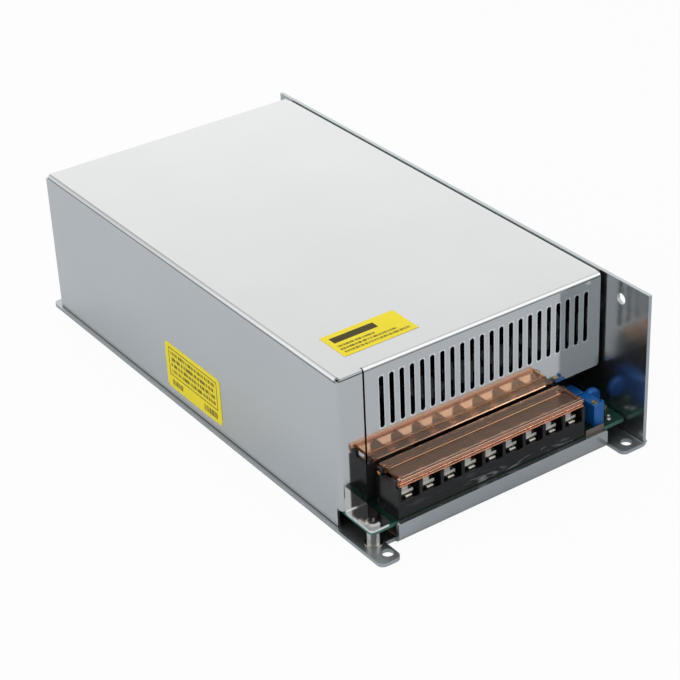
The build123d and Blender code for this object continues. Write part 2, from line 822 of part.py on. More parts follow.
def flip_hinge(x0, side):
    """Knuckle and pin at one end of the flip cover; side is 1 at the right end."""
    x1 = x0 - side * flip_knuckle_w
    tip = x0 + side * (barrier_t + flip_end_gap)
    knuckle = rod_x(hinge_y, hinge_z, min(x0, x1), max(x0, x1), flip_knuckle_d)
    half = flip_knuckle_d / 2
    top = flip_z - flip_t + 0.1
    web = block(min(x0, x1), max(x0, x1), hinge_y - half, hinge_y + half, hinge_z, top)
    return knuckle + web + rod_x(hinge_y, hinge_z, min(x1, tip), max(x1, tip), flip_pin_d)


def terminal_cover():
    """Clear flip cover: flat top with raised rims, ribbed front fascia and two hinge pins at the rear."""
    z0 = flip_z - flip_t
    in0 = row_left + barrier_t + flip_end_gap
    in1 = row_right - barrier_t - flip_end_gap
    x0 = row_left + flip_left_in
    fascia_in = flip_front + flip_t
    rim = flip_z + flip_rim_h
    shape = block(in0, in1, flip_front + 0.1, flip_rear, z0, flip_z)
    face = block(x0, in1, flip_front, fascia_in, flip_z - flip_fascia_h, rim)
    shape = shape + fillet(near(face, Axis.X, y=flip_front, z=rim), flip_edge_radius)
    shape = shape + block(in0, in1, strip_front - flip_rim_w, strip_front, flip_z - 0.1, rim)
    for a, b in ((in0, in0 + flip_rim_w), (in1 - flip_rim_w, in1)):
        shape = shape + block(a, b, fascia_in - 0.1, strip_front, flip_z - 0.1, rim)
    for i in range(flip_rib_count):
        z = flip_z - flip_fascia_h + flip_rib / 2 + i * flip_rib_pitch
        shape = shape + rod_x(flip_front + 0.1, z, x0, in1, flip_rib)
    return shape + flip_hinge(in0, -1) + flip_hinge(in1, 1)


def trimmer_body():
    """Blue multi turn trimmer with a raised corner beside its adjusting screw."""
    x0 = trimmer_left
    x1 = trimmer_left + trimmer_w
    y0 = trimmer_front
    y1 = trimmer_front + trimmer_l
    shape = block(x0, x1, y0, y1, board_top + trimmer_lift, trimmer_top)
    shape = chamfer(shape.faces().sort_by(Axis.Z)[-1].edges(), 0.25)
    for y in (y0 + 0.4, y1 - 0.4 - trimmer_foot):
        shape = shape + block(x0 + 0.4, x1 - 0.4, y, y + trimmer_foot,
                              board_top, board_top + trimmer_lift + 0.1)
    shape = shape + block(x1 - 0.9, x1 - 0.1, y0 + 0.1, y0 + 1.3, trimmer_top - 0.3, trimmer_top + 0.5)
    bore = trimmer_screw_d + 2 * trimmer_clear
    return shape - rod_z(trimmer_x, trimmer_y, trimmer_top - trimmer_screw_depth, trimmer_top + 1, bore)


def trimmer_screw():
    """Slotted brass adjusting screw."""
    z1 = trimmer_top + trimmer_screw_proud
    shape = rod_z(trimmer_x, trimmer_y, trimmer_top - trimmer_screw_depth + 0.1, z1, trimmer_screw_d)
    return shape - Pos(trimmer_x, trimmer_y, z1) * Rot(0, 0, 25) * Box(trimmer_screw_d + 1, 0.5, 1.2)


def indicator_led():
    """Small round lamp beside the trimmer."""
    x = trimmer_left + trimmer_w + led_gap
    y = trimmer_front + led_set_back
    round_at = board_top + led_h - led_d / 2
    flange = rod_z(x, y, board_top, board_top + 0.9, led_d + 0.8)
    return rod_z(x, y, board_top, round_at, led_d) + Pos(x, y, round_at) * Sphere(led_d / 2) + flange


def standing_disc(x, y, d, t, lift):
    """Dipped disc on two leads, its face towards the terminals."""
    z = board_top + lift + d / 2
    body = rod_y(x, z, y - t / 2, y + t / 2, d)
    body = chamfer(rims(body), t * 0.3)
    for side in (-1, 1):
        body = body + rod_z(x + side * d * 0.28, y, board_top, z - d * 0.3, lead_d)
    return body


def front_disc():
    """Blue disc capacitor behind the trimmer."""
    x = trimmer_left + trimmer_w + disc_gap
    return standing_disc(x, panel_y - disc_front, disc_d, disc_t, lead_lift)


def front_film():
    """Blue box capacitor behind the trimmer."""
    w, d, h = film_cap
    x0 = trimmer_left - film_cap_shift
    y0 = trimmer_front + trimmer_l + film_cap_gap
    shape = block(x0, x0 + w, y0, y0 + d, board_top, board_top + h)
    return chamfer(shape.faces().sort_by(Axis.Z)[-1].edges(), 0.4)


def fan_frame():
    """Square moulded frame with a round duct, three struts and a bearing tube."""
    y0 = fan_y
    y1 = rear_wall_in
    shape = Pos(fan_x, (y0 + y1) / 2, fan_z) * Box(fan_size, fan_depth, fan_size)
    shape = fillet(shape.edges().filter_by(Axis.Y), fan_corner_radius)
    shape = shape - rod_y(fan_x, fan_z, y0 - 1, y1 + 1, fan_bore)
    plate = rod_y(fan_x, fan_z, y0, y0 + 2.0, fan_hub_d)
    for i in range(3):
        arm = Pos(fan_bore / 4, 0, 0) * Box(fan_bore / 2 + 2, 3.0, 3.2)
        plate = plate + Pos(fan_x, y0 + 1.5, fan_z) * Rot(0, 120 * i + 30, 0) * arm
    tube = rod_y(fan_x, fan_z, y0, y0 + fan_depth * 0.56, fan_bearing_d)
    bore = rod_y(fan_x, fan_z, y0 + 1.5, y0 + fan_depth * 0.6, fan_shaft_d + 2 * fan_bearing_clear)
    shape = shape + plate + tube - bore
    hole = fan_screw_d + 2 * screw_hole_clear
    return shape - [rod_y(x, z, y0 - 1, y1 + 1, hole) for x, z in fan_points()]


def fan_blade(y0, y1):
    """One swept blade standing on the hub; its outline is drawn on the root."""
    tip_r = fan_bore / 2 - fan_tip_gap
    root_r = fan_hub_d / 2 - 0.8
    half = (y1 - y0) / 2 - 0.4
    foot = -half * 0.75
    sweep = half * 1.125
    arc = ThreePointArc((foot, -half), (1.6, 0), (foot + sweep, half))
    back = ThreePointArc((foot + sweep, half), (2.8, 0.5), (foot, -half))
    blade = extrude(make_face(Curve() + [arc, back]), amount=tip_r - root_r + 1)
    place = Plane(origin=(0, (y0 + y1) / 2, root_r), x_dir=(1, 0, 0), z_dir=(0, 0, 1))
    return place * blade & rod_y(0, 0, y0 - 5, y1 + 5, 2 * tip_r)


def fan_rotor():
    """Cup hub with a shaft and seven swept blades."""
    y0 = fan_y + fan_depth * 0.128
    y1 = fan_y + fan_depth * 0.8
    hub = rod_y(fan_x, fan_z, y0, y1, fan_hub_d)
    hub = hub - rod_y(fan_x, fan_z, y0 - 1, y1 - 1.8, fan_hub_d - 3.2)
    hub = hub + rod_y(fan_x, fan_z, fan_y + 2.0, y1 - 0.5, fan_shaft_d)
    blade = fan_blade(y0, y1)
    for i in range(fan_blades):
        hub = hub + Pos(fan_x, 0, fan_z) * Rot(0, i * 360 / fan_blades, 0) * blade
    return hub


def fan_screws():
    """Screws through the rear wall into the fan's corners."""
    head_d, head_h = fan_screw_head
    made = []
    for x, z in fan_points():
        head = rod_y(x, z, rear_wall_out, rear_wall_out + head_h, head_d)
        made.append(head + rod_y(x, z, rear_wall_in - 8, rear_wall_out + 0.1, fan_screw_d))
    return made


def can_capacitor(x, y, d, h):
    """Upright can capacitor with a crimp groove near its foot."""
    shape = chamfer(rims(rod_z(x, y, board_top, board_top + h, d)), d * 0.035)
    groove = rod_z(x, y, board_top + d * 0.14, board_top + d * 0.2, d + 1)
    groove = groove - rod_z(x, y, board_top, board_top + d, d * 0.95)
    return shape - groove


def bulk_capacitors():
    """Two large reservoir cans, counted from the rear."""
    x = cover_in_left + bulk_cap_from_left
    y = board_rear - bulk_cap_from_rear - bulk_cap_d / 2
    return [can_capacitor(x, y - i * (bulk_cap_d + bulk_cap_gap), bulk_cap_d, bulk_cap_h) for i in range(2)]


def output_capacitors():
    """Row of output cans behind the slotted panel."""
    x = cover_in_left + output_cap_at[0]
    y = panel_in + output_cap_at[1]
    return [can_capacitor(x + i * output_cap_pitch, y, output_cap_d, output_cap_h)
            for i in range(output_caps)]


def clamp_screw_points():
    """Y and Z of the screws between the power devices."""
    z = board_top + power_lift + power_screw_h
    points = [((a + b) / 2, z) for a, b in zip(rectifier_y, rectifier_y[1:])]
    return points + [((a + b) / 2, z) for a, b in zip(switch_y, switch_y[1:])]


def power_row(ys):
    """Flat backed power devices standing against the right wall on three leads."""
    made = []
    t, w, h = power_body
    lead_t, lead_w, lead_pitch = power_lead
    x1 = wall_in - pad_t
    z0 = board_top + power_lift
    x0 = x1 - t / 2 - lead_t / 2
    for y in ys:
        one = block(x1 - t, x1, y - w / 2, y + w / 2, z0, z0 + h)
        one = chamfer(near(one, Axis.Z, x=x1 - t), 0.6)
        for k in (-1, 0, 1):
            y0 = y + k * lead_pitch - lead_w / 2
            one = one + block(x0, x0 + lead_t, y0, y0 + lead_w, board_top, z0 + 1)
        made.append(one)
    return made


def thermal_pads():
    """Insulating pads between the devices and the wall."""
    made = []
    reach = power_body[1] / 2 + pad_over
    z0 = board_top + power_lift - pad_over
    z1 = board_top + power_lift + power_body[2] + pad_over
    for ys in (rectifier_y, switch_y):
        pad = block(wall_in - pad_t, wall_in, ys[0] - reach, ys[-1] + reach, z0, z1)
        for y, z in clamp_screw_points():
            pad = pad - rod_x(y, z, wall_in - 2, wall_in + 1, screw_shank_d + 12 * screw_hole_clear)
        made.append(pad)
    return made


def clamp_bars():
    """Bars that press the devices to the wall."""
    made = []
    x1 = wall_in - pad_t - power_body[0]
    x0 = x1 - bar_t
    z = board_top + power_lift + power_screw_h
    reach = power_body[1] / 2 + bar_over
    for ys in (rectifier_y, switch_y):
        bar = block(x0, x1, ys[0] - reach, ys[-1] + reach, z - bar_h / 2, z + bar_h / 2)
        bar = fillet(near(bar, Axis.Y, x=x0), 1.0)
        for y, zz in clamp_screw_points():
            bar = bar - rod_x(y, zz, x0 - 2, x1 + 1, screw_shank_d + 2 * screw_hole_clear)
        made.append(bar)
    return made


def clamp_screws():
    """Flat head screws from outside the wall into the clamp bars."""
    inner = wall_in - pad_t - power_body[0] - bar_t
    return [countersunk(y, z) + rod_x(y, z, inner, x_right - 0.8, screw_shank_d)
            for y, z in clamp_screw_points()]


def transformer_place():
    """Middle of the main transformer's core."""
    x = cover_in_left + core_at[0]
    y = board_rear - core_at[1]
    return x, y, board_top + core_lift + core[2] / 2


def transformer_core():
    """Two E cores meeting round the winding."""
    x, y, z = transformer_place()
    shape = Pos(x, y, z) * Box(*core)
    for side in (-1, 1):
        hole = Box(core_window, core[1] + 2, core[2] - 2 * core_yoke)
        shape = shape - Pos(x + side * (core_leg + core_window) / 2, y, z) * hole
    return shape


def transformer_coil():
    """Bobbin and taped winding round the middle leg, standing on its pin base."""
    x, y, z = transformer_place()
    wide = core_leg + 2 * core_window - 2 * coil_clear
    deep = core[1] + coil_over
    tall = core[2] - 2 * core_yoke - 2 * coil_clear
    coil = Pos(x, y, z) * Box(wide, deep, tall)
    coil = fillet(coil.edges().filter_by(Axis.Z), 5.0)
    coil = coil - Pos(x, y, z) * Box(core_leg + coil_clear, core[1] + coil_clear, tall + 2)
    base_h = core_lift - 0.2
    shape = coil + Pos(x, y, board_top + base_h / 2) * Box(core[0] + 1, deep, base_h)
    half = wide / 2 - 3
    for side in (-1, 1):
        at = y + side * (core[1] / 2 + 2.5)
        shape = shape + block(x - half, x + half, at - 1.5, at + 1.5, board_top + base_h - 0.1, z)
    return shape


def ring(x, y, z0, size):
    """A flat ring standing on z0."""
    r_out, r_in, h = size
    return rod_z(x, y, z0, z0 + h, 2 * r_out) - rod_z(x, y, z0 - 1, z0 + h + 1, 2 * r_in)


def wound(x, y, z0, size, wire, turns, start, sweep):
    """Wire turns round a ring, each a rectangular hoop, joined side by side."""
    r_out, r_in, h = size
    coil = None
    for i in range(turns):
        a = start + sweep * i / (turns - 1)
        hoop = Box(r_out - r_in + 2 * wire + 0.2, wire, h + 2 * wire + 0.2)
        hoop = hoop - Box(r_out - r_in + 0.2, wire + 1, h + 0.2)
        one = Rot(0, 0, a) * (Pos((r_out + r_in) / 2, 0, 0) * hoop)
        coil = one if coil is None else coil + one
    return Pos(x, y, z0 + h / 2) * coil


def from_panel(at):
    """A place counted from the left side and the panel, standing over the board."""
    return cover_in_left + at[0], panel_in + at[1], board_top + at[2]


def output_inductor_core():
    """Powder ring of the output inductor."""
    return ring(*from_panel(inductor_at), inductor_ring)


def output_inductor_winding():
    """Heavy copper hoops round the output ring."""
    x, y, z = from_panel(inductor_at)
    return wound(x, y, z, inductor_ring, inductor_wire, inductor_turns, 0.0, 342.0)


def line_choke_core():
    """Ferrite ring of the line choke."""
    return ring(*from_panel(choke_at), choke_ring)


def line_choke_winding():
    """Two windings on opposite halves of the line choke."""
    x, y, z = from_panel(choke_at)
    return [wound(x, y, z, choke_ring, choke_wire, choke_turns, start, 100.0) for start in (-50.0, 130.0)]


def fuse():
    """Glass fuse with metal end caps."""
    x, y, z = from_panel(fuse_at)
    shape = rod_y(x, z, y, y + fuse_l, fuse_glass_d)
    for y0 in (y, y + fuse_l - fuse_cap):
        shape = shape + rod_y(x, z, y0, y0 + fuse_cap, fuse_d)
    return shape


def fuse_clips():
    """Sprung clips that carry the fuse."""
    x, y, z = from_panel(fuse_at)
    half = fuse_d / 2
    made = []
    for middle in (y + clip_in, y + fuse_l - clip_in):
        y0 = middle - clip_w / 2
        y1 = middle + clip_w / 2
        grip = rod_y(x, z, y0, y1, fuse_d + 2 * clip_wall)
        grip = grip + block(x - half, x + half, y0, y1, board_top, z - 1)
        grip = grip - rod_y(x, z, y0 - 1, y1 + 1, fuse_d)
        grip = grip - block(x - 2.0, x + 2.0, y0 - 1, y1 + 1, z + 1, z + 5)
        grip = grip - block(x - half + 0.7, x + half - 0.7, y0 - 1, y1 + 1, board_top + 0.7, z)
        made.append(grip)
    return made


def thermistor():
    """Dark dipped disc that limits the inrush current."""
    x = cover_in_left + thermistor_at[0]
    return standing_disc(x, panel_in + thermistor_at[1], thermistor_d, thermistor_t, 2 * lead_lift)


def line_capacitors():
    """Two blue discs from line to case."""
    x = cover_in_left + y_disc_at[0]
    y = panel_in + y_disc_at[1]
    return [standing_disc(x, y + i * y_disc_pitch, y_disc_d, y_disc_t, 2 * lead_lift) for i in range(2)]


def box_capacitor(x, y, size):
    """Moulded box capacitor with soft corners, standing on the board."""
    shape = Pos(x, y, board_top + size[2] / 2) * Box(*size)
    return fillet(shape.edges().filter_by(Axis.Z), 1.0)


def line_box_capacitor():
    """Box capacitor across the line, behind the panel."""
    return box_capacitor(cover_in_left + line_cap_at[0], panel_in + line_cap_at[1], line_cap)


def coupling_capacitor():
    """Box capacitor behind the main transformer."""
    return box_capacitor(cover_in_left + coupling_at[0], board_rear - coupling_at[1], coupling_cap)


def bridge_rectifier():
    """Flat bridge with four leads, bolted to its heat sink."""
    x = cover_in_left + sink_at[0]
    y1 = panel_in + sink_at[1]
    w, t, h = bridge
    lead_w, lead_t, lead_pitch = bridge_lead
    z0 = board_top + bridge_lift
    body = block(x - w / 2, x + w / 2, y1 - t, y1, z0, z0 + h)
    body = chamfer(near(body, Axis.Y, x=x - w / 2, z=z0 + h), 2.5)
    for i in range(4):
        x0 = x + (i - 1.5) * lead_pitch - lead_w / 2
        body = body + block(x0, x0 + lead_w, y1 - t / 2 - lead_t, y1 - t / 2, board_top, z0 + 1)
    return body


def bridge_heatsink():
    """Finned plate behind the bridge."""
    w, t, h = sink
    fin_t, fin_l = sink_fin
    x0 = cover_in_left + sink_at[0] - w / 2
    y0 = panel_in + sink_at[1]
    step = (w - fin_t) / (sink_fins - 1)
    shape = block(x0, x0 + w, y0, y0 + t, board_top, board_top + h)
    for i in range(sink_fins):
        x = x0 + i * step
        shape = shape + block(x, x + fin_t, y0 + t - 0.1, y0 + t + fin_l, board_top, board_top + h)
    return shape


def driver_transformer():
    """Small drive transformer: core, taped coil and pin base."""
    x = cover_in_left + driver_at[0]
    y = board_rear - driver_at[1]
    z = board_top + driver_base[2] + driver_core[2] / 2 - 0.1
    coil = fillet((Pos(x, y, z) * Box(*driver_coil)).edges().filter_by(Axis.Z), 2.0)
    base = Pos(x, y, board_top + driver_base[2] / 2) * Box(*driver_base)
    return Pos(x, y, z) * Box(*driver_core) + coil + base


def control_place():
    """Left end and front face of the upright control board."""
    x0 = cover_in_left + control_at[0] - control[0] / 2
    return x0, board_rear - control_at[1]


def control_board():
    """Upright control board."""
    x0, y0 = control_place()
    return block(x0, x0 + control[0], y0, y0 + control[1], board_top, board_top + control[2])


def control_chips():
    """Two controller chips on the upright board."""
    x0, y0 = control_place()
    w, t, h = chip
    leg_w, leg_pitch, leg_out = chip_leg
    y1 = y0 - chip_gap
    z0 = board_top + chip_lift
    made = []
    for side in (-0.5, 0.5):
        x = x0 + control[0] / 2 + side * chip_pitch
        one = block(x - w / 2, x + w / 2, y1 - t, y1, z0, z0 + h)
        one = chamfer(near(one, Axis.Z, y=y1 - t), 0.5)
        for k in range(chip_legs):
            at = x + (k - (chip_legs - 1) / 2) * leg_pitch - leg_w / 2
            one = one + block(at, at + leg_w, y1 - 0.7, y0, z0 - leg_out, z0 + h + leg_out)
        made.append(one)
    return made


def control_capacitors():
    """Small cans round the controller."""
    x = cover_in_left + small_cap_at[0]
    y = board_rear - small_cap_at[1]
    return [can_capacitor(x + i * small_cap_pitch, y, small_cap_d, small_cap_h) for i in range(small_caps)]


def load_resistors():
    """Two power resistors lying across their leads."""
    x, y, z = from_panel(resistor_at)
    d, body_l, lead = resistor
    half = resistor_span / 2
    made = []
    for i in range(2):
        at = x + i * resistor_pitch
        body = chamfer(rims(rod_y(at, z, y - body_l / 2, y + body_l / 2, d)), 0.9)
        body = body + rod_y(at, z, y - half, y + half, lead)
        for end in (y - half, y + half):
            body = body + rod_z(at, end, board_top, z + lead * 0.6, lead)
        made.append(body)
    return made


def fan_connector():
    """Two pin header for the fan."""
    w, d, h = plug
    x = cover_in_left + plug_at[0]
    y = board_rear - plug_at[1]
    z1 = board_top + h
    shape = block(x - w / 2, x + w / 2, y - d / 2, y + d / 2, board_top, z1)
    shape = shape - block(x - w / 2 + plug_wall, x + w / 2 - plug_wall, y - d / 2 + plug_wall,
                          y + d / 2 - plug_wall, board_top + 1.5, z1 + 1)
    for side in (-0.5, 0.5):
        shape = shape + rod_z(x + side * plug_pin_pitch, y, board_top + 1.0, z1 - 1.0, plug_pin_d)
    return shape


def selector_place():
    """Face, middle and height of the input voltage selector."""
    return cover_in_left + selector_gap, panel_in + selector_from_panel, board_top + selector[2] / 2


def selector_body():
    """Housing of the input voltage selector, its slot facing the left side."""
    x0, y, z = selector_place()
    w, d, h = selector
    knob_in, knob_l, knob_h = selector_knob
    reach = (selector_travel + knob_l) / 2 + selector_clear
    shape = block(x0, x0 + w, y - d / 2, y + d / 2, board_top, board_top + h)
    half = knob_h / 2 + selector_clear
    return shape - block(x0 - 1, x0 + knob_in - selector_out + selector_clear, y - reach, y + reach,
                         z - half, z + half)


def selector_slider():
    """Slide of the selector, resting at the +Y end of its slot."""
    x0, y, z = selector_place()
    knob_in, knob_l, knob_h = selector_knob
    y1 = y + (selector_travel + knob_l) / 2
    x1 = x0 - selector_out
    return block(x1, x1 + knob_in, y1 - knob_l, y1, z - knob_h / 2, z + knob_h / 2)


def top_label():
    """Sticker on the top, near the front left corner."""
    w, d = top_label_size
    x0 = cover_left + top_label_at[0]
    y0 = panel_y + top_label_at[1]
    return block(x0, x0 + w, y0, y0 + d, height, height + label_t)


def side_label():
    """Sticker low on the left side."""
    w, h = side_label_size
    y0 = panel_y + side_label_at[0]
    z0 = sheet + side_label_at[1]
    shape = block(cover_left - label_t, cover_left, y0, y0 + w, z0, z0 + h)
    return fillet(shape.edges().filter_by(Axis.X), label_radius)


nodes = {
    "chassis": chassis,
    "cover": cover,
    "cover_side_screws": side_screws,
    "cover_rear_screws": rear_screws,
    "cover_corner_screw": cover_corner_screw,
    "standoffs": standoffs,
    "board_screws": board_screws,
    "insulation_sheet": insulation_sheet,
    "circuit_board": circuit_board,
    "terminal_body": terminal_body,
    "terminal_cover": terminal_cover,
    "terminal_rails": terminal_rails,
    "terminal_clamps": terminal_clamps,
    "terminal_screws": terminal_screws,
    "trimmer_body": trimmer_body,
    "trimmer_screw": trimmer_screw,
    "indicator_led": indicator_led,
    "front_disc_capacitor": front_disc,
    "front_film_capacitor": front_film,
    "fan_frame": fan_frame,
    "fan_rotor": fan_rotor,
    "fan_screws": fan_screws,
    "fan_connector": fan_connector,
    "bulk_capacitors": bulk_capacitors,
    "output_capacitors": output_capacitors,
    "output_rectifiers": lambda: power_row(rectifier_y),
    "switching_transistors": lambda: power_row(switch_y),
    "thermal_pads": thermal_pads,
    "clamp_bars": clamp_bars,
    "clamp_screws": clamp_screws,
    "transformer_core": transformer_core,
    "transformer_coil": transformer_coil,
    "driver_transformer": driver_transformer,
    "output_inductor_core": output_inductor_core,
    "output_inductor_winding": output_inductor_winding,
    "line_choke_core": line_choke_core,
    "line_choke_windings": line_choke_winding,
    "fuse": fuse,
    "fuse_clips": fuse_clips,
    "thermistor": thermistor,
    "line_disc_capacitors": line_capacitors,
    "line_box_capacitor": line_box_capacitor,
    "coupling_capacitor": coupling_capacitor,
    "bridge_rectifier": bridge_rectifier,
    "bridge_heatsink": bridge_heatsink,
    "control_board": control_board,
    "control_chips": control_chips,
    "control_capacitors": control_capacitors,
    "load_resistors": load_resistors,
    "selector_body": selector_body,
    "selector_slider": selector_slider,
    "top_label": top_label,
    "side_label": side_label,
}

os.makedirs("parts", exist_ok=True)
for name, make in nodes.items():
    shape = make()
    if isinstance(shape, list):
        shape = Compound(children=[s.solid() if len(s.solids()) == 1 else s for s in shape])
    export_step(shape, "parts/" + name + ".step")
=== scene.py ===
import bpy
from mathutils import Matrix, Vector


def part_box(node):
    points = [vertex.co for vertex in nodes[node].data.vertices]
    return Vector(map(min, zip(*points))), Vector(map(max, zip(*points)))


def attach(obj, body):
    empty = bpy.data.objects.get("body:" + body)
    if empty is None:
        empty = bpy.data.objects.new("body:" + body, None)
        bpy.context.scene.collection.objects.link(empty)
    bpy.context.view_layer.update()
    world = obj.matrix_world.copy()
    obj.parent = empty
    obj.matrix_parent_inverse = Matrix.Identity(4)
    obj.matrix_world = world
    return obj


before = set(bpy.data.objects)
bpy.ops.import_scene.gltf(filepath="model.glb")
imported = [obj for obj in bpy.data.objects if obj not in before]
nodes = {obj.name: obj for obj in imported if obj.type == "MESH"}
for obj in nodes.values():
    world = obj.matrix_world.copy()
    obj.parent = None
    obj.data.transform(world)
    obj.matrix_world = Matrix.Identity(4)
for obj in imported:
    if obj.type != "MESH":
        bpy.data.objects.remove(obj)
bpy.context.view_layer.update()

# %% [markdown]
# # Enclosed switching power supply
#
# The unit is a folded steel box with one high side wall, a slotted front, a row of screw terminals under an
# amber flip cover and a few blue parts beside it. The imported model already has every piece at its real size.
# This lesson gives each of them a finish, and adds the small forms that only the look needs.

scene = bpy.context.scene
print("pieces in the packed model:", len(nodes))

# %% [markdown]
# ## Camera
#
# The photograph was taken from the left, above the terminal end. The position, the direction and the lens
# were solved from edges whose real places are known, so the render falls on the photograph without any shift.

# %% Camera
lens_length, sensor_width = 105.31, 36.0
camera_place = Vector((-0.38231, -0.57859, 0.42283))
camera_right = Vector((0.81612, -0.57644, -0.04089)).normalized()
camera_up = Vector((0.32203, 0.39489, 0.86044)).normalized()
camera_back = camera_right.cross(camera_up).normalized()
camera_data = bpy.data.cameras.new("camera")
camera_data.lens = lens_length
camera_data.sensor_width = sensor_width
camera = bpy.data.objects.new("camera", camera_data)
scene.collection.objects.link(camera)
turn = Matrix((camera_right, camera_up, camera_back)).transposed().to_4x4()
camera.matrix_world = Matrix.Translation(camera_place) @ turn
scene.camera = camera
print("camera at", [round(v, 4) for v in camera.matrix_world.translation])

# %% [markdown]
# ## Shader helpers
#
# The room, the floor and every finish are small networks of nodes. A few helpers keep each network short:
# `put` fills a socket, `add` makes a node, `calc` does one sum, `spread` maps a mask to a range of values and
# `blend_colour` mixes two colours by a mask.

# %% Shader helpers
def put(tree, value, socket):
    """Links a socket to another one, or sets it to a number, a vector or a colour."""
    if isinstance(value, bpy.types.NodeSocket):
        tree.links.new(value, socket)
    elif socket.type == "RGBA":
        socket.default_value = value + (1.0,)
    else:
        socket.default_value = value


def add(tree, kind, inputs=None, **settings):
    """Adds one shader node with its settings and inputs."""
    node = tree.nodes.new(kind)
    for key, value in settings.items():
        setattr(node, key, value)
    for key, value in (inputs or {}).items():
        put(tree, value, node.inputs[key])
    return node


def calc(tree, operation, *values, clamp=False):
    """One sum of up to three values, each a number or a socket."""
    node = add(tree, "ShaderNodeMath", dict(enumerate(values)), operation=operation, use_clamp=clamp)
    return node.outputs[0]


def spread(tree, mask, low, high, start=0.0, end=1.0):
    """Maps a mask that runs from start to end to values from low to high."""
    node = add(tree, "ShaderNodeMapRange", {
        "Value": mask, "From Min": start, "From Max": end, "To Min": low, "To Max": high})
    return node.outputs["Result"]


def blend_colour(tree, mask, low, high):
    """A colour between two, by a mask; each end is a colour or a socket."""
    return add(tree, "ShaderNodeMix", {0: mask, 6: low, 7: high}, data_type="RGBA").outputs[2]


def parts_of(tree, vector):
    """The X, Y and Z of a vector."""
    return add(tree, "ShaderNodeSeparateXYZ", {0: vector}).outputs[:]


print("shader helpers ready")

# %% [markdown]
# ## Masks
#
# A mask is a value that is 1 where a finish changes and 0 elsewhere. Most masks here compare a place on the
# piece with a limit, so a pattern stays with its piece however the piece moves, and needs no image.

# %% Masks
def above(tree, value, limit):
    """1 where a value is over a limit."""
    return calc(tree, "GREATER_THAN", value, limit)


def below(tree, value, limit):
    """1 where a value is under a limit."""
    return calc(tree, "LESS_THAN", value, limit)


def all_of(tree, *masks):
    """The masks multiplied: 1 where every one of them is."""
    total = masks[0]
    for mask in masks[1:]:
        total = calc(tree, "MULTIPLY", total, mask)
    return total


def any_of(tree, *masks):
    """The highest of the masks: 1 where any one of them is."""
    total = masks[0]
    for mask in masks[1:]:
        total = calc(tree, "MAXIMUM", total, mask)
    return total


def within(tree, value, low, high):
    """1 where a value lies between two numbers."""
    return all_of(tree, above(tree, value, low), below(tree, value, high))


def beyond(tree, value, low, high):
    """1 where a value lies outside two numbers."""
    return calc(tree, "SUBTRACT", 1.0, within(tree, value, low, high))


print("mask helpers ready")

# %% [markdown]
# ## Room
#
# The picture is a packshot on white. The room is white where the camera, a clear part or a reflection looks
# at it, and half as strong where it only lights the object. High up, except toward the front, the mirrored
# room is a little darker, which gives the cover's top its pale grey.

# %% Room
light_strength = 0.50
front_limit = -0.1
high_sky, high_sky_start, high_sky_end = 0.74, 0.40, 0.56
scene.view_settings.view_transform = "Standard"
world = bpy.data.worlds.new("room")
scene.world = world
world.use_nodes = True
room = world.node_tree
rays = room.nodes.new("ShaderNodeLightPath").outputs
toward = parts_of(room, room.nodes.new("ShaderNodeTexCoord").outputs["Generated"])
sky = spread(room, toward[2], 1.0, high_sky, high_sky_start, high_sky_end)
mirrored = all_of(room, rays["Is Glossy Ray"], any_of(room, below(room, toward[1], front_limit), sky))
seen = any_of(room, rays["Is Camera Ray"], rays["Is Transmission Ray"])
surround = room.nodes["Background"]
put(room, (1.0, 1.0, 1.0), surround.inputs["Color"])
put(room, any_of(room, seen, mirrored, light_strength), surround.inputs["Strength"])
print("room: white when seen,", light_strength, "as light")

# %% [markdown]
# ## Lamps
#
# Four soft rectangular lamps stand around the object. The back one is weak and shows as a sheen in the sheet.
# The other three light the stickers, the plastics and the boards, and are hidden from reflections, because
# the bright sheet would mirror them as hard white squares.

# %% Lamps
def softbox(name, place, target, width, depth, power, mirrored=False):
    """A large rectangular lamp that faces a target."""
    data = bpy.data.lights.new(name, "AREA")
    data.shape = "RECTANGLE"
    data.size = width
    data.size_y = depth
    data.energy = power
    lamp = bpy.data.objects.new(name, data)
    scene.collection.objects.link(lamp)
    aim = (Vector(target) - Vector(place)).to_track_quat("-Z", "Y")
    lamp.matrix_world = Matrix.Translation(Vector(place)) @ aim.to_matrix().to_4x4()
    lamp.visible_glossy = mirrored


upper_middle, low_middle, low_front = (0.0, 0.0, 0.06), (0.0, 0.0, 0.03), (0.0, -0.10, 0.02)
softbox("back_light", (0.72, 0.92, 0.80), upper_middle, width=1.5, depth=1.1, power=1.35, mirrored=True)
softbox("left_light", (-1.15, 0.35, 0.80), low_middle, width=0.9, depth=0.9, power=13.0)
softbox("front_light", (0.60, -1.10, 0.50), low_front, width=0.6, depth=0.5, power=2.0)
softbox("top_light", (0.0, 0.1, 1.30), upper_middle, width=1.0, depth=1.0, power=6.5)

# %% [markdown]
# ## Floor
#
# The unit lies on white paper. The plane is pale grey for its own light and shadow, and glows white where
# the camera or a clear part looks at it, so that only a faint shadow is left. Reflections see a little glow.

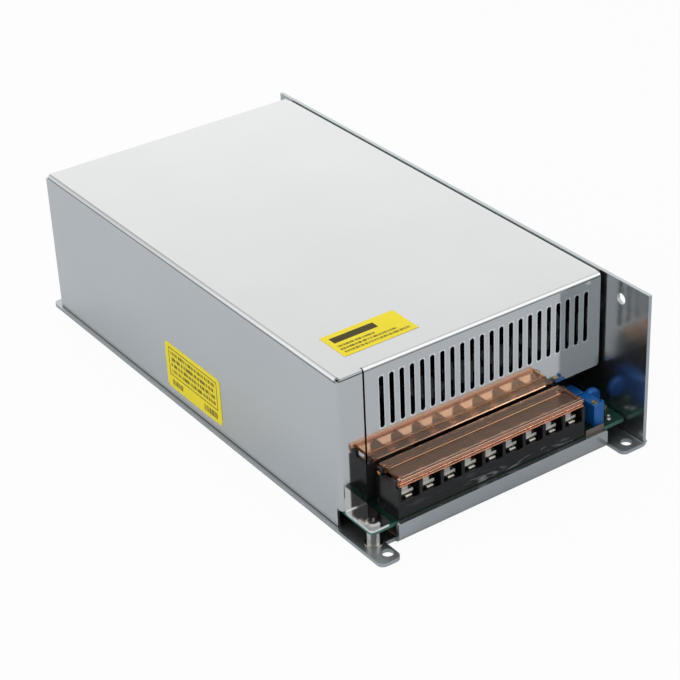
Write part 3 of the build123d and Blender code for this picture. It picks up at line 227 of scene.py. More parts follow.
# %% Floor
floor_side, floor_drop = 6.0, 0.0002
camera_share, mirror_share = 0.95, 0.1
floor_grey = (0.49, 0.52, 0.56)
bpy.ops.object.select_all(action="DESELECT")
bpy.ops.mesh.primitive_plane_add(size=floor_side, location=(0.0, 0.0, -floor_drop))
floor = bpy.context.object
floor.name = "floor"
floor_paint = bpy.data.materials.new("white_floor")
floor_paint.use_nodes = True
tree = floor_paint.node_tree
matt = tree.nodes["Principled BSDF"]
put(tree, floor_grey, matt.inputs["Base Color"])
put(tree, 0.9, matt.inputs["Roughness"])
put(tree, 0.1, matt.inputs["Specular IOR Level"])
glow = add(tree, "ShaderNodeEmission", {"Strength": 1.0})
rays = tree.nodes.new("ShaderNodeLightPath").outputs
seen = calc(tree, "MULTIPLY_ADD", rays["Is Camera Ray"], camera_share, rays["Is Transmission Ray"])
white_share = calc(tree, "MULTIPLY_ADD", rays["Is Glossy Ray"], mirror_share, seen, clamp=True)
surface = add(tree, "ShaderNodeMixShader", {0: white_share, 1: matt.outputs[0], 2: glow.outputs[0]})
put(tree, surface.outputs[0], tree.nodes["Material Output"].inputs["Surface"])
floor.data.materials.append(floor_paint)
print("floor ready")

# %% [markdown]
# ## Shared surface effects
#
# Two small node groups are used by nearly every finish. Each takes a place on the piece and a size, and gives
# only values. The finishes keep their own shaders, so the groups can be shared without tying them together.

# %% Shared effects
def effect(name, outputs):
    """An empty node group that takes a place and a size."""
    tree = bpy.data.node_groups.new(name, "ShaderNodeTree")
    tree.interface.new_socket("Vector", in_out="INPUT", socket_type="NodeSocketVector")
    tree.interface.new_socket("Size", in_out="INPUT", socket_type="NodeSocketFloat")
    for label in outputs:
        kind = "NodeSocketVector" if label == "Normal" else "NodeSocketFloat"
        tree.interface.new_socket(label, in_out="OUTPUT", socket_type=kind)
    return tree, tree.nodes.new("NodeGroupInput").outputs, tree.nodes.new("NodeGroupOutput").inputs


def noise(tree, place, **inputs):
    """Soft noise over a place, from 0 to 1."""
    named = {key.capitalize(): value for key, value in inputs.items()}
    return add(tree, "ShaderNodeTexNoise", {"Vector": place, **named}).outputs["Fac"]


def stretched(tree, place, scale):
    """The place, with each axis scaled by itself."""
    return add(tree, "ShaderNodeMapping", {"Vector": place, "Scale": scale}).outputs["Vector"]


print("effect helpers ready")

# %% [markdown]
# ## Marks of rolled sheet
#
# Sheet from a mill shows soft clouds, fine lines along the rolling direction and a few thin scratches, and it
# is never quite flat. Noise that is stretched along Y gives the lines and the scratches, and wide noise bumps
# the surface a little, so that mirrored edges waver. The size that the group takes is how strongly the lines
# are felt in the surface.

# %% Sheet marks
sheet_marks, given, result = effect("sheet_marks", ["Cloud", "Scratch", "Normal"])
where = given["Vector"]
cloud = noise(sheet_marks, where, scale=22.0, detail=4.0, roughness=0.6)
line = noise(sheet_marks, stretched(sheet_marks, where, (1.0, 0.02, 1.0)), scale=1500.0, detail=2.0)
thin = noise(sheet_marks, stretched(sheet_marks, where, (1.0, 0.035, 0.6)),
             scale=260.0, detail=3.0, distortion=0.3)
wave = noise(sheet_marks, where, scale=14.0, detail=1.0)
soft_bump = add(sheet_marks, "ShaderNodeBump", {"Strength": 0.5, "Distance": 0.0004, "Height": wave})
fine_bump = add(sheet_marks, "ShaderNodeBump", {
    "Strength": given["Size"], "Distance": 0.00001, "Height": line, "Normal": soft_bump.outputs["Normal"]})
put(sheet_marks, cloud, result["Cloud"])
put(sheet_marks, spread(sheet_marks, thin, 0.0, 1.0, 0.70, 0.74), result["Scratch"])
put(sheet_marks, fine_bump.outputs["Normal"], result["Normal"])
print("effect:", sheet_marks.name)

# %% [markdown]
# ## Marks of moulded parts
#
# Plastic and small cast or plated metal show a fine grain, soft patches and, where they were handled, pale
# rubbed spots. The size that the group takes is the scale of the grain.

# %% Mould marks
mould_marks, given, result = effect("mould_marks", ["Patch", "Grain", "Scuff", "Normal"])
where = given["Vector"]
patch = noise(mould_marks, where, scale=90.0, detail=3.0)
grain = noise(mould_marks, where, scale=given["Size"], detail=2.0)
rub = noise(mould_marks, stretched(mould_marks, where, (0.12, 1.0, 0.5)),
            scale=320.0, detail=4.0, distortion=0.6)
bump = add(mould_marks, "ShaderNodeBump", {"Strength": 0.35, "Distance": 0.00004, "Height": grain})
put(mould_marks, patch, result["Patch"])
put(mould_marks, grain, result["Grain"])
put(mould_marks, spread(mould_marks, rub, 0.0, 1.0, 0.60, 0.68), result["Scuff"])
put(mould_marks, bump.outputs["Normal"], result["Normal"])
print("effect:", mould_marks.name)

# %% [markdown]
# ## Finish helpers
#
# `paint` starts a material, `marks` puts a shared effect into it, `coat` fills the inputs of its shader and
# `recolour` lays one more colour over it by a mask. `wear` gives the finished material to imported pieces.

# %% Finish helpers
def object_place(tree):
    """The place on the piece, in the piece's own coordinates."""
    return tree.nodes.new("ShaderNodeTexCoord").outputs["Object"]


def facing(tree):
    """The X, Y and Z of the direction that a surface faces."""
    return parts_of(tree, tree.nodes.new("ShaderNodeNewGeometry").outputs["Normal"])


def paint(name):
    """A new material, its tree and the place on the piece."""
    material = bpy.data.materials.new(name)
    material.use_nodes = True
    return material, material.node_tree, object_place(material.node_tree)


def marks(tree, effect_group, place, size):
    """Puts a shared effect into a material and gives its outputs."""
    node = add(tree, "ShaderNodeGroup", {"Vector": place, "Size": size}, node_tree=effect_group)
    return node.outputs


def coat(tree, inputs):
    """Sets or links inputs of a material's shader."""
    shader = tree.nodes["Principled BSDF"]
    for key, value in inputs.items():
        put(tree, value, shader.inputs[key])


def source_of(tree, key):
    """What an input of a material's shader is linked to."""
    return tree.nodes["Principled BSDF"].inputs[key].links[0].from_socket


def recolour(tree, mask, colour):
    """Lays a colour over a finish, by a mask."""
    coat(tree, {"Base Color": blend_colour(tree, mask, source_of(tree, "Base Color"), colour)})


def wear(material, pieces):
    """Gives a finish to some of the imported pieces."""
    for piece in pieces:
        slots = nodes[piece].data.materials
        slots.clear()
        slots.append(material)


print("finish helpers ready")

# %% [markdown]
# ## Sheet metal
#
# Both big shells are folded from plated steel sheet. The cover is nearly a mirror, and the chassis is a
# little darker and duller. One function makes both, from a pale metal whose colour and gloss follow the
# clouds. The chassis base with its ears is duller than the upright walls, which one more mask gives.

# %% Sheet metal
cloud_start, cloud_end = 0.3, 0.7
scratch_roughness, base_roughness = 0.10, 0.15
chassis_sheet = 0.0015
base_top = chassis_sheet + 0.0002


def sheet_finish(name, low, high, smooth, rough, lines):
    """Rolled sheet: a pale metal with clouds, rolling lines and thin scratches."""
    material, tree, place = paint(name)
    out = marks(tree, sheet_marks, place, lines)
    clouded = spread(tree, out["Cloud"], smooth, rough, cloud_start, cloud_end)
    coat(tree, {
        "Metallic": 1.0,
        "Base Color": blend_colour(tree, out["Cloud"], low, high),
        "Roughness": calc(tree, "MULTIPLY_ADD", out["Scratch"], scratch_roughness, clouded),
        "Normal": out["Normal"]})
    return material


bright = sheet_finish("bright_sheet", (0.61, 0.62, 0.617), (0.66, 0.67, 0.666), 0.045, 0.085, 0.10)
zinc = sheet_finish("zinc_sheet", (0.45, 0.49, 0.505), (0.53, 0.555, 0.565), 0.15, 0.22, 0.22)
tree = zinc.node_tree
on_base = below(tree, parts_of(tree, object_place(tree))[2], base_top)
satin = calc(tree, "MULTIPLY_ADD", on_base, base_roughness, source_of(tree, "Roughness"))
coat(tree, {"Metallic": 0.97, "Roughness": satin})
wear(bright, ["cover"])
wear(zinc, ["chassis"])
print("sheet finishes:", bright.name, zinc.name)

# %% [markdown]
# ## Painted highlights on the folds of the cover
#
# A folded sheet catches the light along its bends and its free edges. These highlights are less than a
# millimetre wide, so masks on the place paint them as pale lines: along the bends round the top, where the one
# on the left fades toward the rear, and on the foot's edge.

# %% Painted fold highlights
board_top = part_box("circuit_board")[1].z
cover_low, cover_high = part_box("cover")
panel_front, panel_left, cover_sheet = -0.096, -0.0497, 0.0010
left_fade_start, left_fade_end = -0.070, 0.040
bend_height, foot_height = 0.0007, 0.0008
painted_fold_highlight = (0.95, 0.96, 0.97)
tree = bright.node_tree
x, y, z = parts_of(tree, object_place(tree))
on_panel = all_of(tree, below(tree, y, panel_front + cover_sheet), above(tree, x, panel_left))
left_fade = spread(tree, y, 1.0, 0.0, left_fade_start, left_fade_end)
on_left = all_of(tree, below(tree, x, cover_low.x + cover_sheet), left_fade)
bend = all_of(tree, above(tree, z, cover_high.z - bend_height), any_of(tree, on_panel, on_left))
foot_edge = all_of(tree, below(tree, z, board_top + foot_height), below(tree, y, panel_front))
# painted highlight: pale lines on the bends and on the foot's edge
recolour(tree, any_of(tree, bend, foot_edge), painted_fold_highlight)
print("pale folds ready")

# %% [markdown]
# ## Painted shade lines of the cover
#
# Where a bend turns away from the light the sheet shows a thin grey line of shade, and masks paint it. There
# is one under the panel's bend and one under the left bend, a paler one on the top where the left bend starts,
# and a dark painted shadow along the left side's lower edge, where a gap lies under it.

# %% Painted shade lines
shade_width, shade_reach = 0.0005, 0.0004
under_panel, under_side = cover_high.z - 0.0014, cover_high.z - 0.0016
start_depth, start_near, start_far = 0.0003, 0.0011, 0.0014
gap_shadow_height, gap_shadow_reach = 0.0005, 0.0002
shade_grey, bend_start_shade_grey, gap_shadow_grey = (0.26, 0.27, 0.29), (0.40, 0.41, 0.42), (0.10, 0.11, 0.12)
panel_line = all_of(tree, within(tree, z, under_panel, under_panel + shade_width),
                    below(tree, y, panel_front + shade_reach))
side_line = all_of(tree, within(tree, z, under_side, under_side + shade_width),
                   below(tree, x, cover_low.x + shade_reach))
# painted shade under the panel's bend and under the left bend
recolour(tree, any_of(tree, panel_line, side_line), shade_grey)
bend_start = all_of(tree, above(tree, z, cover_high.z - start_depth),
                    within(tree, x, cover_low.x + start_near, cover_low.x + start_far))
# painted shade on the top where the left bend starts
recolour(tree, bend_start, bend_start_shade_grey)
# painted shadow of the gap along the left side's lower edge
gap_shadow = all_of(tree, below(tree, z, cover_low.z + gap_shadow_height), below(tree, x, cover_low.x + gap_shadow_reach))
recolour(tree, gap_shadow, gap_shadow_grey)
print("dark lines ready")

# %% [markdown]
# ## Painted highlights on the rims of the slots
#
# The slots were punched, and the light catches each rim, which is painted as a thin pale highlight. The place
# along the panel is divided by the pitch, so that every slot lies in the middle of its own step, and one mask
# paints all the rim highlights.

# %% Slot rim highlights
first_slot, slot_pitch, slot_count = -0.0422, 0.0045, 22
slot_bottom, slot_top = 0.0392, 0.0585
rim_width, rim_reach = 0.0014, 0.00135
rim_front, rim_back = 0.0002, 0.0012
rim_highlight_pale = (0.86, 0.87, 0.88)
last_slot = first_slot + (slot_count - 1) * slot_pitch
along = calc(tree, "DIVIDE", calc(tree, "SUBTRACT", x, first_slot - slot_pitch / 2), slot_pitch)
off_middle = calc(tree, "ABSOLUTE", calc(tree, "SUBTRACT", calc(tree, "FRACT", along), 0.5))
rim_highlight = all_of(
    tree,
    below(tree, off_middle, rim_reach / slot_pitch),
    within(tree, z, slot_bottom - rim_width, slot_top + rim_width),
    within(tree, x, first_slot - rim_width, last_slot + rim_width),
    within(tree, y, panel_front - rim_front, panel_front + rim_back))
# painted highlight on every slot's rim
recolour(tree, rim_highlight, rim_highlight_pale)
print("slot rims:", slot_count)

# %% [markdown]
# ## Small metal parts
#
# The screws are plated steel, the terminal's rails and clamps are tinned, the trimmer's screw is brass and
# the clamp bars are aluminium. They differ in colour and gloss only, so one function makes them all.

# %% Small metal
grain_start, grain_end = 0.35, 0.65


def metal_finish(name, colour, dark, smooth, rough, grain):
    """Turned, plated or cast metal with soft patches and a fine grain."""
    material, tree, place = paint(name)
    out = marks(tree, mould_marks, place, grain)
    coat(tree, {
        "Metallic": 1.0,
        "Base Color": blend_colour(tree, out["Patch"], dark, colour),
        "Roughness": spread(tree, out["Grain"], smooth, rough, grain_start, grain_end),
        "Normal": out["Normal"]})
    return material


screw_steel = metal_finish("screw_steel", (0.60, 0.59, 0.57), (0.34, 0.33, 0.31), 0.08, 0.20, 2600.0)
contact_tin = metal_finish("contact_tin", (0.72, 0.71, 0.66), (0.52, 0.50, 0.45), 0.14, 0.32, 2200.0)
pillar_metal = metal_finish("standoff_metal", (0.76, 0.75, 0.72), (0.60, 0.59, 0.56), 0.12, 0.26, 1800.0)
brass = metal_finish("brass", (0.78, 0.58, 0.26), (0.52, 0.36, 0.14), 0.15, 0.30, 2200.0)
aluminium = metal_finish("aluminium", (0.70, 0.71, 0.72), (0.56, 0.57, 0.58), 0.28, 0.45, 1600.0)
wear(screw_steel, ["cover_side_screws", "cover_rear_screws", "cover_corner_screw", "board_screws",
                   "terminal_screws", "fan_screws", "clamp_screws"])
wear(contact_tin, ["terminal_rails", "terminal_clamps", "fuse_clips"])
wear(pillar_metal, ["standoffs"])
wear(brass, ["trimmer_screw"])
wear(aluminium, ["clamp_bars", "bridge_heatsink"])
print("metals ready")

# %% [markdown]
# ## Painted dark reflection on the pillars
#
# A round bright pillar mirrors a dark stripe on the side that faces the photographer, and that reflection is
# painted into its colour. The direction that the surface faces picks that side, so every pillar gets the same
# painted stripe.

# %% Pillar painted reflection
front_turn = (-0.57, -0.82)
band_start, band_end, painted_reflection_dark = 0.86, 0.96, (0.20, 0.20, 0.19)
tree = pillar_metal.node_tree
ahead = facing(tree)
toward_front = calc(tree, "ADD", calc(tree, "MULTIPLY", ahead[0], front_turn[0]),
                    calc(tree, "MULTIPLY", ahead[1], front_turn[1]))
# painted reflection: a dark stripe on the side toward the camera
recolour(tree, spread(tree, toward_front, 0.0, 1.0, band_start, band_end), painted_reflection_dark)
print("pillar band ready")

# %% [markdown]
# ## Plastics
#
# The terminal row is glossy black, the trimmer is blue and the fan is matt black. One function makes these
# and the plain inner parts: a colour with soft patches, and a gloss that follows the grain.

# %% Plastics
scuff_grey = (0.30, 0.30, 0.31)


def plastic_finish(name, colour, pale, smooth, rough, grain=2400.0, scuff=0.0, gloss=0.5):
    """Moulded plastic with a fine grain, soft patches and, where asked, pale scuffs."""
    material, tree, place = paint(name)
    out = marks(tree, mould_marks, place, grain)
    body = blend_colour(tree, out["Patch"], colour, pale)
    if scuff:
        body = blend_colour(tree, calc(tree, "MULTIPLY", out["Scuff"], scuff), body, scuff_grey)
    coat(tree, {
        "Base Color": body,
        "Specular IOR Level": gloss,
        "Roughness": spread(tree, out["Grain"], smooth, rough, grain_start, grain_end),
        "Normal": out["Normal"]})
    return material


block_black = plastic_finish("block_black", (0.005, 0.005, 0.006), (0.009, 0.009, 0.010), 0.14, 0.26,
                             grain=1500.0, scuff=0.10, gloss=0.3)
trimmer_blue = plastic_finish("trimmer_blue", (0.006, 0.10, 0.38), (0.012, 0.145, 0.48), 0.22, 0.36)
fan_black = plastic_finish("fan_black", (0.018, 0.018, 0.019), (0.030, 0.030, 0.031), 0.38, 0.55)
white_nylon = plastic_finish("white_nylon", (0.74, 0.73, 0.68), (0.84, 0.83, 0.78), 0.35, 0.50)
box_grey = plastic_finish("box_grey", (0.52, 0.53, 0.50), (0.62, 0.63, 0.60), 0.30, 0.45)
pad_grey = plastic_finish("pad_grey", (0.42, 0.43, 0.42), (0.54, 0.55, 0.54), 0.60, 0.80)
device_black = plastic_finish("device_black", (0.020, 0.020, 0.022), (0.034, 0.034, 0.036), 0.42, 0.58)
wear(block_black, ["terminal_body"])
wear(trimmer_blue, ["trimmer_body", "front_film_capacitor"])
wear(fan_black, ["fan_frame", "fan_rotor"])
wear(white_nylon, ["fan_connector", "load_resistors", "selector_slider"])
wear(box_grey, ["coupling_capacitor"])
wear(pad_grey, ["thermal_pads"])
wear(device_black, ["selector_body", "line_box_capacitor"])
print("plastics ready")

# %% [markdown]
# ## Parts with wire legs
#
# Power devices and disc capacitors stand on tinned legs. Each part and its legs are one piece, so a height
# above the board decides where the body ends and the wire begins.

# %% Parts with wire legs
wire_tin = (0.62, 0.61, 0.58)


def with_leads(material, body_height):
    """Turns what lies below a height over the board into tinned wire."""
    tree = material.node_tree
    on_legs = below(tree, parts_of(tree, object_place(tree))[2], board_top + body_height)
    recolour(tree, on_legs, wire_tin)
    return material


device_leads = with_leads(plastic_finish(
    "device_leads", (0.020, 0.020, 0.022), (0.034, 0.034, 0.036), 0.42, 0.58), body_height=0.0046)
disc_blue = with_leads(plastic_finish(
    "disc_blue", (0.014, 0.12, 0.50), (0.030, 0.19, 0.62), 0.16, 0.28, grain=700.0), body_height=0.0006)
disc_dark = with_leads(plastic_finish(
    "disc_dark", (0.035, 0.045, 0.035), (0.07, 0.08, 0.06), 0.35, 0.5, grain=700.0), body_height=0.0010)
wear(device_leads, ["output_rectifiers", "switching_transistors", "bridge_rectifier", "control_chips"])
wear(disc_blue, ["front_disc_capacitor", "line_disc_capacitors"])
wear(disc_dark, ["thermistor"])
print("parts with legs ready")

# %% [markdown]
# ## Rubbed front of the terminal row
#
# Low on its front the black row is rubbed pale, in a stretch along the middle. Long noise gives the streaks,
# and a mask keeps them on the front face and in that stretch.

# %% Rubbed front
rub_low, rub_high, rub_depth = 0.0006, 0.0036, 0.0001
rub_left, rub_right = -0.030, 0.034
streak_share, streak_start, streak_end = 0.95, 0.53, 0.62
rub_grey = (0.22, 0.22, 0.23)
body_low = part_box("terminal_body")[0]
tree = block_black.node_tree
place = object_place(tree)
x, y, z = parts_of(tree, place)
streaks = noise(tree, stretched(tree, place, (0.22, 1.0, 1.0)), scale=300.0, detail=5.0, distortion=1.5)
rubbed = all_of(
    tree,
    spread(tree, streaks, 0.0, streak_share, streak_start, streak_end),
    within(tree, z, body_low.z + rub_low, body_low.z + rub_high),
    within(tree, x, rub_left, rub_right),
    below(tree, y, body_low.y + rub_depth))
recolour(tree, rubbed, rub_grey)
print("rubbed stretch:", rub_left, "to", rub_right)

# %% [markdown]
# ## Indicator lamp
#
# The indicator is a small clear green body, so its shader lets most of the light through.

# %% Indicator lamp
lamp_green, tree, place = paint("lamp_green")
out = marks(tree, mould_marks, place, 900.0)
coat(tree, {
    "Base Color": blend_colour(tree, out["Patch"], (0.14, 0.22, 0.09), (0.22, 0.32, 0.14)),
    "Transmission Weight": 0.75,
    "Roughness": 0.12})
wear(lamp_green, ["indicator_led"])
print("indicator ready")

# %% [markdown]
# ## Amber cover
#
# The flip cover is a thin clear moulding. Its flat top looks pale, while its ribbed front, its raised lines
# and its end walls are seen through more of the plastic and look deep amber. Masks pick these places, and a
# colour ramp over the height paints the front's ribs with bright highlight lines and a dark shade line.

# %% Amber cover
flip_low, flip_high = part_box("terminal_cover")
front_depth, raised_height, end_width = 0.0017, 0.00052, 0.0029
band_height = 0.0035
pale_amber, rich_amber, deep_amber = (0.80, 0.56, 0.45), (0.85, 0.63, 0.52), (0.93, 0.44, 0.20)
# painted highlights and shade of the ribbed front, by height: bright lines, orange, one dark line
band_highlights_and_shade = ((0.0, (0.97, 0.70, 0.52)), (0.16, (0.95, 0.62, 0.42)), (0.24, (0.86, 0.42, 0.24)),
                (0.62, (0.90, 0.48, 0.29)), (0.70, (0.30, 0.09, 0.03)), (0.80, (0.97, 0.72, 0.55)))
top_rim_highlight = (0.98, 0.80, 0.66, 1.0)
amber, tree, place = paint("cover_amber")
out = marks(tree, mould_marks, place, 500.0)
x, y, z = parts_of(tree, place)
front = below(tree, y, flip_low.y + front_depth)
raised = above(tree, z, flip_high.z - raised_height)
ends = beyond(tree, x, flip_low.x + end_width, flip_high.x - end_width)
clear = blend_colour(tree, out["Patch"], pale_amber, rich_amber)
# the ramp paints the highlight lines and the shade line over the front
painted_band_lights = add(tree, "ShaderNodeValToRGB", {
    "Fac": spread(tree, z, 0.0, 1.0, flip_high.z - band_height, flip_high.z)})
ramp = painted_band_lights.color_ramp
for spot, colour in band_highlights_and_shade:
    stop = ramp.elements.new(spot) if spot else ramp.elements[0]
    stop.color = colour + (1.0,)
ramp.elements[-1].color = top_rim_highlight
deep = blend_colour(tree, front, deep_amber, painted_band_lights.outputs["Color"])
coat(tree, {
    "Base Color": blend_colour(tree, any_of(tree, front, raised, ends), clear, deep),
    "Transmission Weight": 0.96,
    "IOR": 1.5,
    "Roughness": spread(tree, out["Patch"], 0.005, 0.025)})
wear(amber, ["terminal_cover"])
print("amber cover ready")

# %% [markdown]
# ## Circuit boards
#
# A board is green mask over copper tracks, and its cut edge shows the paler laminate. A brick pattern gives
# straight tracks without any image. The mask and its tracks are kept darker as painted shade, and toward the
# right corner the mask is painted paler as painted light, as in the photograph.

# %% Circuit boards
light_pool_start, light_pool_end, upright = 0.044, 0.056, 0.5
# dark green mask and tracks, darkened further as painted shade
mask_green_and_shade, track_green = (0.0015, 0.014, 0.009), (0.003, 0.026, 0.017)
painted_light_green, edge_green = (0.016, 0.062, 0.046), (0.050, 0.17, 0.12)
board_green, tree, place = paint("board_green")
out = marks(tree, mould_marks, place, 1200.0)
track = add(tree, "ShaderNodeTexBrick", {
    "Vector": place, "Scale": 95.0, "Mortar Size": 0.035, "Mortar Smooth": 0.2, "Brick Width": 0.9,
    "Row Height": 0.32}, offset=0.37)
copper_field = spread(tree, track.outputs["Fac"], 1.0, 0.0)
coat(tree, {
    "Base Color": blend_colour(tree, copper_field, mask_green_and_shade, track_green),
    "Roughness": spread(tree, out["Patch"], 0.22, 0.36),
    "Normal": out["Normal"]})
# painted light: the mask turns paler toward the right corner
recolour(tree, spread(tree, parts_of(tree, place)[0], 0.0, 1.0, light_pool_start, light_pool_end), painted_light_green)
recolour(tree, below(tree, calc(tree, "ABSOLUTE", facing(tree)[2]), upright), edge_green)
wear(board_green, ["circuit_board", "control_board"])
print("boards ready")

# %% [markdown]
# ## Insulating film
#
# A thin brown film lies under the board and turns up behind the front lip. It is smooth and slightly glossy.

# %% Insulating film
film, tree, place = paint("film")
out = marks(tree, mould_marks, place, 800.0)
coat(tree, {
    "Base Color": blend_colour(tree, out["Patch"], (0.14, 0.105, 0.085), (0.20, 0.155, 0.125)),
    "Roughness": spread(tree, out["Patch"], 0.25, 0.45)})
wear(film, ["insulation_sheet"])
print("film ready")

# %% [markdown]
# ## Capacitor cans
#
# A can has a dark sleeve with a pale band that marks one of its leads, and a grey top. The direction that the
# surface faces finds the band and the top, which suits all cans at once, whatever their place.

# %% Capacitor cans
top_facing, band_facing = 0.9, 1.28
lowest_lid = 0.008
sleeve_blue, band_grey, lid_grey = (0.012, 0.016, 0.040), (0.16, 0.17, 0.19), (0.30, 0.31, 0.32)
can_sleeve, tree, place = paint("can_sleeve")
out = marks(tree, mould_marks, place, 1400.0)
ahead = facing(tree)
band = above(tree, calc(tree, "ADD", ahead[0], ahead[1]), band_facing)
lid = all_of(tree, above(tree, ahead[2], top_facing),
             above(tree, parts_of(tree, place)[2], board_top + lowest_lid))
coat(tree, {
    "Base Color": blend_colour(tree, band, sleeve_blue, band_grey),
    "Roughness": spread(tree, out["Patch"], 0.22, 0.36),
    "Normal": out["Normal"]})
recolour(tree, lid, lid_grey)
wear(can_sleeve, ["bulk_capacitors", "output_capacitors", "control_capacitors"])
print("cans ready")

# %% [markdown]
# ## Cores and copper windings
#
# Ferrite is nearly black and dull, and the output choke is wound on a ring with yellow lacquer. The windings
# are lacquered copper wire, which keeps its shine.

# %% Cores and windings
ferrite = plastic_finish("ferrite", (0.040, 0.040, 0.043), (0.070, 0.070, 0.074), 0.45, 0.62, grain=900.0)
powder = plastic_finish("powder_core", (0.46, 0.36, 0.06), (0.58, 0.46, 0.10), 0.35, 0.50, grain=900.0)
copper, tree, place = paint("copper")
out = marks(tree, mould_marks, place, 1600.0)
coat(tree, {
    "Metallic": 1.0,
    "Base Color": blend_colour(tree, out["Patch"], (0.42, 0.16, 0.06), (0.66, 0.28, 0.12)),
    "Roughness": spread(tree, out["Grain"], 0.18, 0.34),
    "Normal": out["Normal"]})
wear(ferrite, ["transformer_core", "line_choke_core"])
wear(powder, ["output_inductor_core"])
wear(copper, ["output_inductor_winding", "line_choke_windings"])
print("cores and windings ready")

# %% [markdown]
# ## Transformer tape
#
# The coils are wrapped in yellow tape over a black bobbin. The height times a count of turns repeats from 0
# to 1, and its start draws the darker seam of each turn.

# %% Transformer tape
turns_per_metre, seam_share = 190.0, 0.06
bobbin_height = 0.0030
seam_brown, bobbin_black = (0.50, 0.34, 0.05), (0.025, 0.025, 0.027)
tape, tree, place = paint("tape_yellow")
out = marks(tree, mould_marks, place, 1200.0)
z = parts_of(tree, place)[2]
seam = below(tree, calc(tree, "FRACT", calc(tree, "MULTIPLY", z, turns_per_metre)), seam_share)
coat(tree, {
    "Base Color": blend_colour(tree, out["Patch"], (0.70, 0.50, 0.07), (0.80, 0.60, 0.12)),
    "Roughness": spread(tree, out["Patch"], 0.25, 0.40)})
recolour(tree, seam, seam_brown)
recolour(tree, below(tree, z, board_top + bobbin_height), bobbin_black)
wear(tape, ["transformer_coil", "driver_transformer"])
print("tape ready")

# %% [markdown]
# ## Fuse
#
# The fuse is a glass tube with a metal cap on each end. The place along its length finds the caps.

# %% Fuse
cap_length = 0.0055
fuse_low, fuse_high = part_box("fuse")
glass, tree, place = paint("fuse_glass")
out = marks(tree, mould_marks, place, 900.0)
caps = beyond(tree, parts_of(tree, place)[1], fuse_low.y + cap_length, fuse_high.y - cap_length)
coat(tree, {
    "Base Color": blend_colour(tree, caps, (0.86, 0.90, 0.90), (0.62, 0.61, 0.58)),
    "Roughness": spread(tree, out["Patch"], 0.08, 0.18),
    "Transmission Weight": 0.35})
wear(glass, ["fuse"])
print("fuse ready")

# %% [markdown]
# ## Printed shapes
#
# Both stickers carry a print of bars, dashes and frames, which masks draw over the sticker's own width and
# height, each from 0 to 1. Nothing in the print can be read.

# %% Printed shapes
dash_cut, dash_ink = 0.44, 0.8


def on_sticker(tree, place, node, first_axis, second_axis, flip=False):
    """Two values that run from 0 to 1 across a sticker."""
    low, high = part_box(node)
    axes = parts_of(tree, place)
    u, v = [spread(tree, axes[axis], 0.0, 1.0, low[axis], high[axis]) for axis in (first_axis, second_axis)]
    if flip:
        u = calc(tree, "SUBTRACT", 1.0, u)
    return u, v


def bar(tree, u, v, u0, u1, v0, v1):
    """A solid bar from u0 to u1 and from v0 to v1."""
    return all_of(tree, within(tree, u, u0, u1), within(tree, v, v0, v1))


def frame_line(tree, u, v, u0, u1, v0, v1, thick_u, thick_v):
    """A frame with its own line width across and along."""
    outer = bar(tree, u, v, u0, u1, v0, v1)
    inner = bar(tree, u, v, u0 + thick_u, u1 - thick_u, v0 + thick_v, v1 - thick_v)
    return calc(tree, "SUBTRACT", outer, inner)


def dashes(tree, u, v, u0, u1, v0, v1, count, seed):
    """A row of short dashes with uneven lengths; a seed keeps the rows apart."""
    uneven = add(tree, "ShaderNodeTexNoise", {
        "W": calc(tree, "ADD", u, seed), "Scale": count, "Detail": 1.0}, noise_dimensions="1D")
    broken = above(tree, uneven.outputs["Fac"], dash_cut)
    return all_of(tree, bar(tree, u, v, u0, u1, v0, v1), broken, dash_ink)


print("printed shapes ready")

# %% [markdown]
# ## Stickers
#
# The top sticker has one solid bar over three rows of dashes. The side one has four rows inside a frame and
# two blocks of dashes below it. The paper is a plain yellow with a slight gloss. Each shape is given by its
# left, right, bottom and top as shares of the sticker. A row adds how fine its dashes are, and a frame adds
# its two line widths.

# %% Stickers
first_seed, seed_step = 3.1, 1.7
paper_low, paper_high, ink = (0.68, 0.555, 0.022), (0.73, 0.605, 0.030), (0.045, 0.038, 0.008)


def sticker(name, node, axes, flip, solid, rows, frames):
    """Yellow paper with a dark print of solid bars, rows of dashes and frames."""
    material, tree, place = paint(name)
    out = marks(tree, mould_marks, place, 900.0)
    u, v = on_sticker(tree, place, node, axes[0], axes[1], flip)
    masks = [bar(tree, u, v, *box) for box in solid]
    masks += [dashes(tree, u, v, *row, first_seed + seed_step * i) for i, row in enumerate(rows)]
    masks += [frame_line(tree, u, v, *box) for box in frames]
    coat(tree, {
        "Base Color": blend_colour(tree, out["Patch"], paper_low, paper_high),
        "Specular IOR Level": 0.15,
        "Roughness": spread(tree, out["Patch"], 0.42, 0.55),
        "Normal": out["Normal"]})
    recolour(tree, any_of(tree, *masks), ink)
    return material


top_rows = [(0.05, 0.55, 0.40, 0.48, 60.0), (0.05, 0.80, 0.26, 0.34, 62.0), (0.05, 0.94, 0.12, 0.20, 64.0)]
side_rows = [(0.10, 0.90, 0.76, 0.84, 44.0), (0.10, 0.90, 0.63, 0.71, 46.0), (0.10, 0.90, 0.50, 0.58, 48.0),
             (0.10, 0.90, 0.37, 0.45, 47.0), (0.10, 0.30, 0.09, 0.21, 60.0), (0.68, 0.92, 0.08, 0.22, 60.0)]
label_top = sticker("label_top", "top_label", (0, 1), False,
                    solid=[(0.07, 0.66, 0.60, 0.84)], rows=top_rows, frames=[])
label_side = sticker("label_side", "side_label", (1, 2), True,
                     solid=[], rows=side_rows, frames=[(0.06, 0.94, 0.29, 0.91, 0.010, 0.020)])
wear(label_top, ["top_label"])
wear(label_side, ["side_label"])
print("stickers ready")

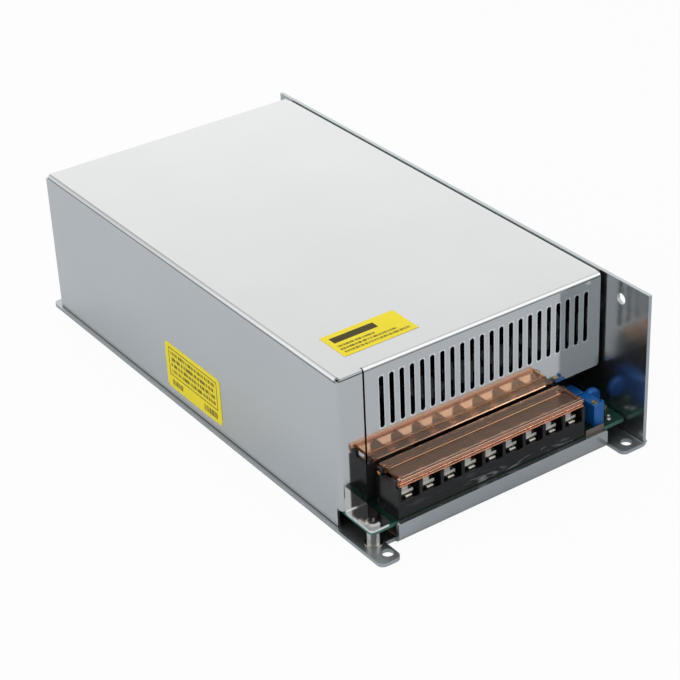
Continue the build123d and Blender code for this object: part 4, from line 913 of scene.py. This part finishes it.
# %% [markdown]
# ## Helpers for small forms
#
# The last pieces are shaped from primitives. A cube with a bevel gives a rounded box, and its place and size
# go into its mesh, so that the piece itself stays at the origin, unturned and unscaled.

# %% Form helpers
edge_steps, smooth_angle = 3, 0.7


def settle(piece, material, name, body="unit"):
    """Puts a shaped piece's place and size into its mesh, and gives it a name, a finish and a body."""
    bpy.ops.object.select_all(action="DESELECT")
    piece.select_set(True)
    bpy.context.view_layer.objects.active = piece
    bpy.ops.object.transform_apply(location=True, rotation=True, scale=True)
    piece.name = name
    piece.data.materials.clear()
    piece.data.materials.append(material)
    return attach(piece, body)


def rounded_box(place, size, edge):
    """A box at its size and place with rounded edges."""
    bpy.ops.object.select_all(action="DESELECT")
    bpy.ops.mesh.primitive_cube_add(size=1.0, location=place, scale=size)
    piece = bpy.context.object
    bpy.ops.object.transform_apply(location=True, rotation=True, scale=True)
    bevel = piece.modifiers.new("round", "BEVEL")
    bevel.width = edge
    bevel.segments = edge_steps
    bpy.ops.object.modifier_apply(modifier=bevel.name)
    bpy.ops.object.shade_smooth_by_angle(angle=smooth_angle)
    return piece


print("form helpers ready")

# %% [markdown]
# ## Ends of the terminal tongues
#
# Each of the nine tongues ends in a bright rounded bar that catches the light. The first is shaped, and the
# others are copies with a mesh of their own, moved on by the pitch of the poles.

# %% Tongue ends
pole_count, pole_pitch = 9, 0.0095
tip_place, tip_size, tip_edge = (-0.0417, -0.10965, 0.01605), (0.0030, 0.0009, 0.0011), 0.0003
first_tip = rounded_box(tip_place, tip_size, tip_edge)
tips = [settle(first_tip, contact_tin, "rail_tip_1")]
for number in range(1, pole_count):
    tip = first_tip.copy()
    tip.data = first_tip.data.copy()
    scene.collection.objects.link(tip)
    tip.data.transform(Matrix.Translation((pole_pitch * number, 0.0, 0.0)))
    tip.name = "rail_tip_%d" % (number + 1)
    tips.append(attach(tip, "unit"))
print("tips:", len(tips))

# %% [markdown]
# ## Board corner
#
# Beside the trimmer the board's corner shows two solder spots and a small dark chip. A solder spot is a ball
# that is pressed flat and sunk to its middle in the board.

# %% Board corner
solder_spots = ((0.0563, -0.1056, 0.0010), (0.0549, -0.1074, 0.0012))
solder_lift, solder_flat = 0.00005, (1.0, 1.0, 0.5)
chip_place, chip_size, chip_edge = (0.0571, -0.1030, board_top + 0.0006), (0.0016, 0.0032, 0.0013), 0.0002
for number, (x, y, radius) in enumerate(solder_spots, 1):
    bpy.ops.object.select_all(action="DESELECT")
    bpy.ops.mesh.primitive_uv_sphere_add(segments=20, ring_count=10, radius=radius,
                                         location=(x, y, board_top + solder_lift), scale=solder_flat)
    bpy.ops.object.shade_smooth()
    settle(bpy.context.object, contact_tin, "solder_spot_%d" % number)
settle(rounded_box(chip_place, chip_size, chip_edge), ferrite, "chip_part")
print("solder spots:", len(solder_spots))

# %% [markdown]
# ## Painted highlight lines in the flip cover
#
# The ribs on the flip cover's front carry the light along as thin bright lines. Clear plastic alone renders
# them too faint, so three thin amber bars stand just inside the front as painted highlights, and move with the
# flip cover.

# %% Painted highlight lines
line_end_gap, line_depth, line_inset, line_edge = 0.0012, 0.0002, 0.00015, 0.00008
line_heights = ((0.02250, 0.00040), (0.02435, 0.00030), (0.02520, 0.00025))
line_length = flip_high.x - flip_low.x - 2 * line_end_gap
flip_middle = (flip_low.x + flip_high.x) / 2
# bright amber bars that stand for painted highlights, not parts of the cover
painted_highlight_amber = plastic_finish("painted_highlight_amber", (0.95, 0.50, 0.32), (0.98, 0.62, 0.44), 0.10, 0.20)
for number, (height, thickness) in enumerate(line_heights, 1):
    highlight_bar = rounded_box((flip_middle, flip_low.y + line_inset, height),
                              (line_length, line_depth, thickness), line_edge)
    settle(highlight_bar, painted_highlight_amber, "amber_highlight_line_%d" % number, "terminal_cover")
print("bright lines:", len(line_heights))
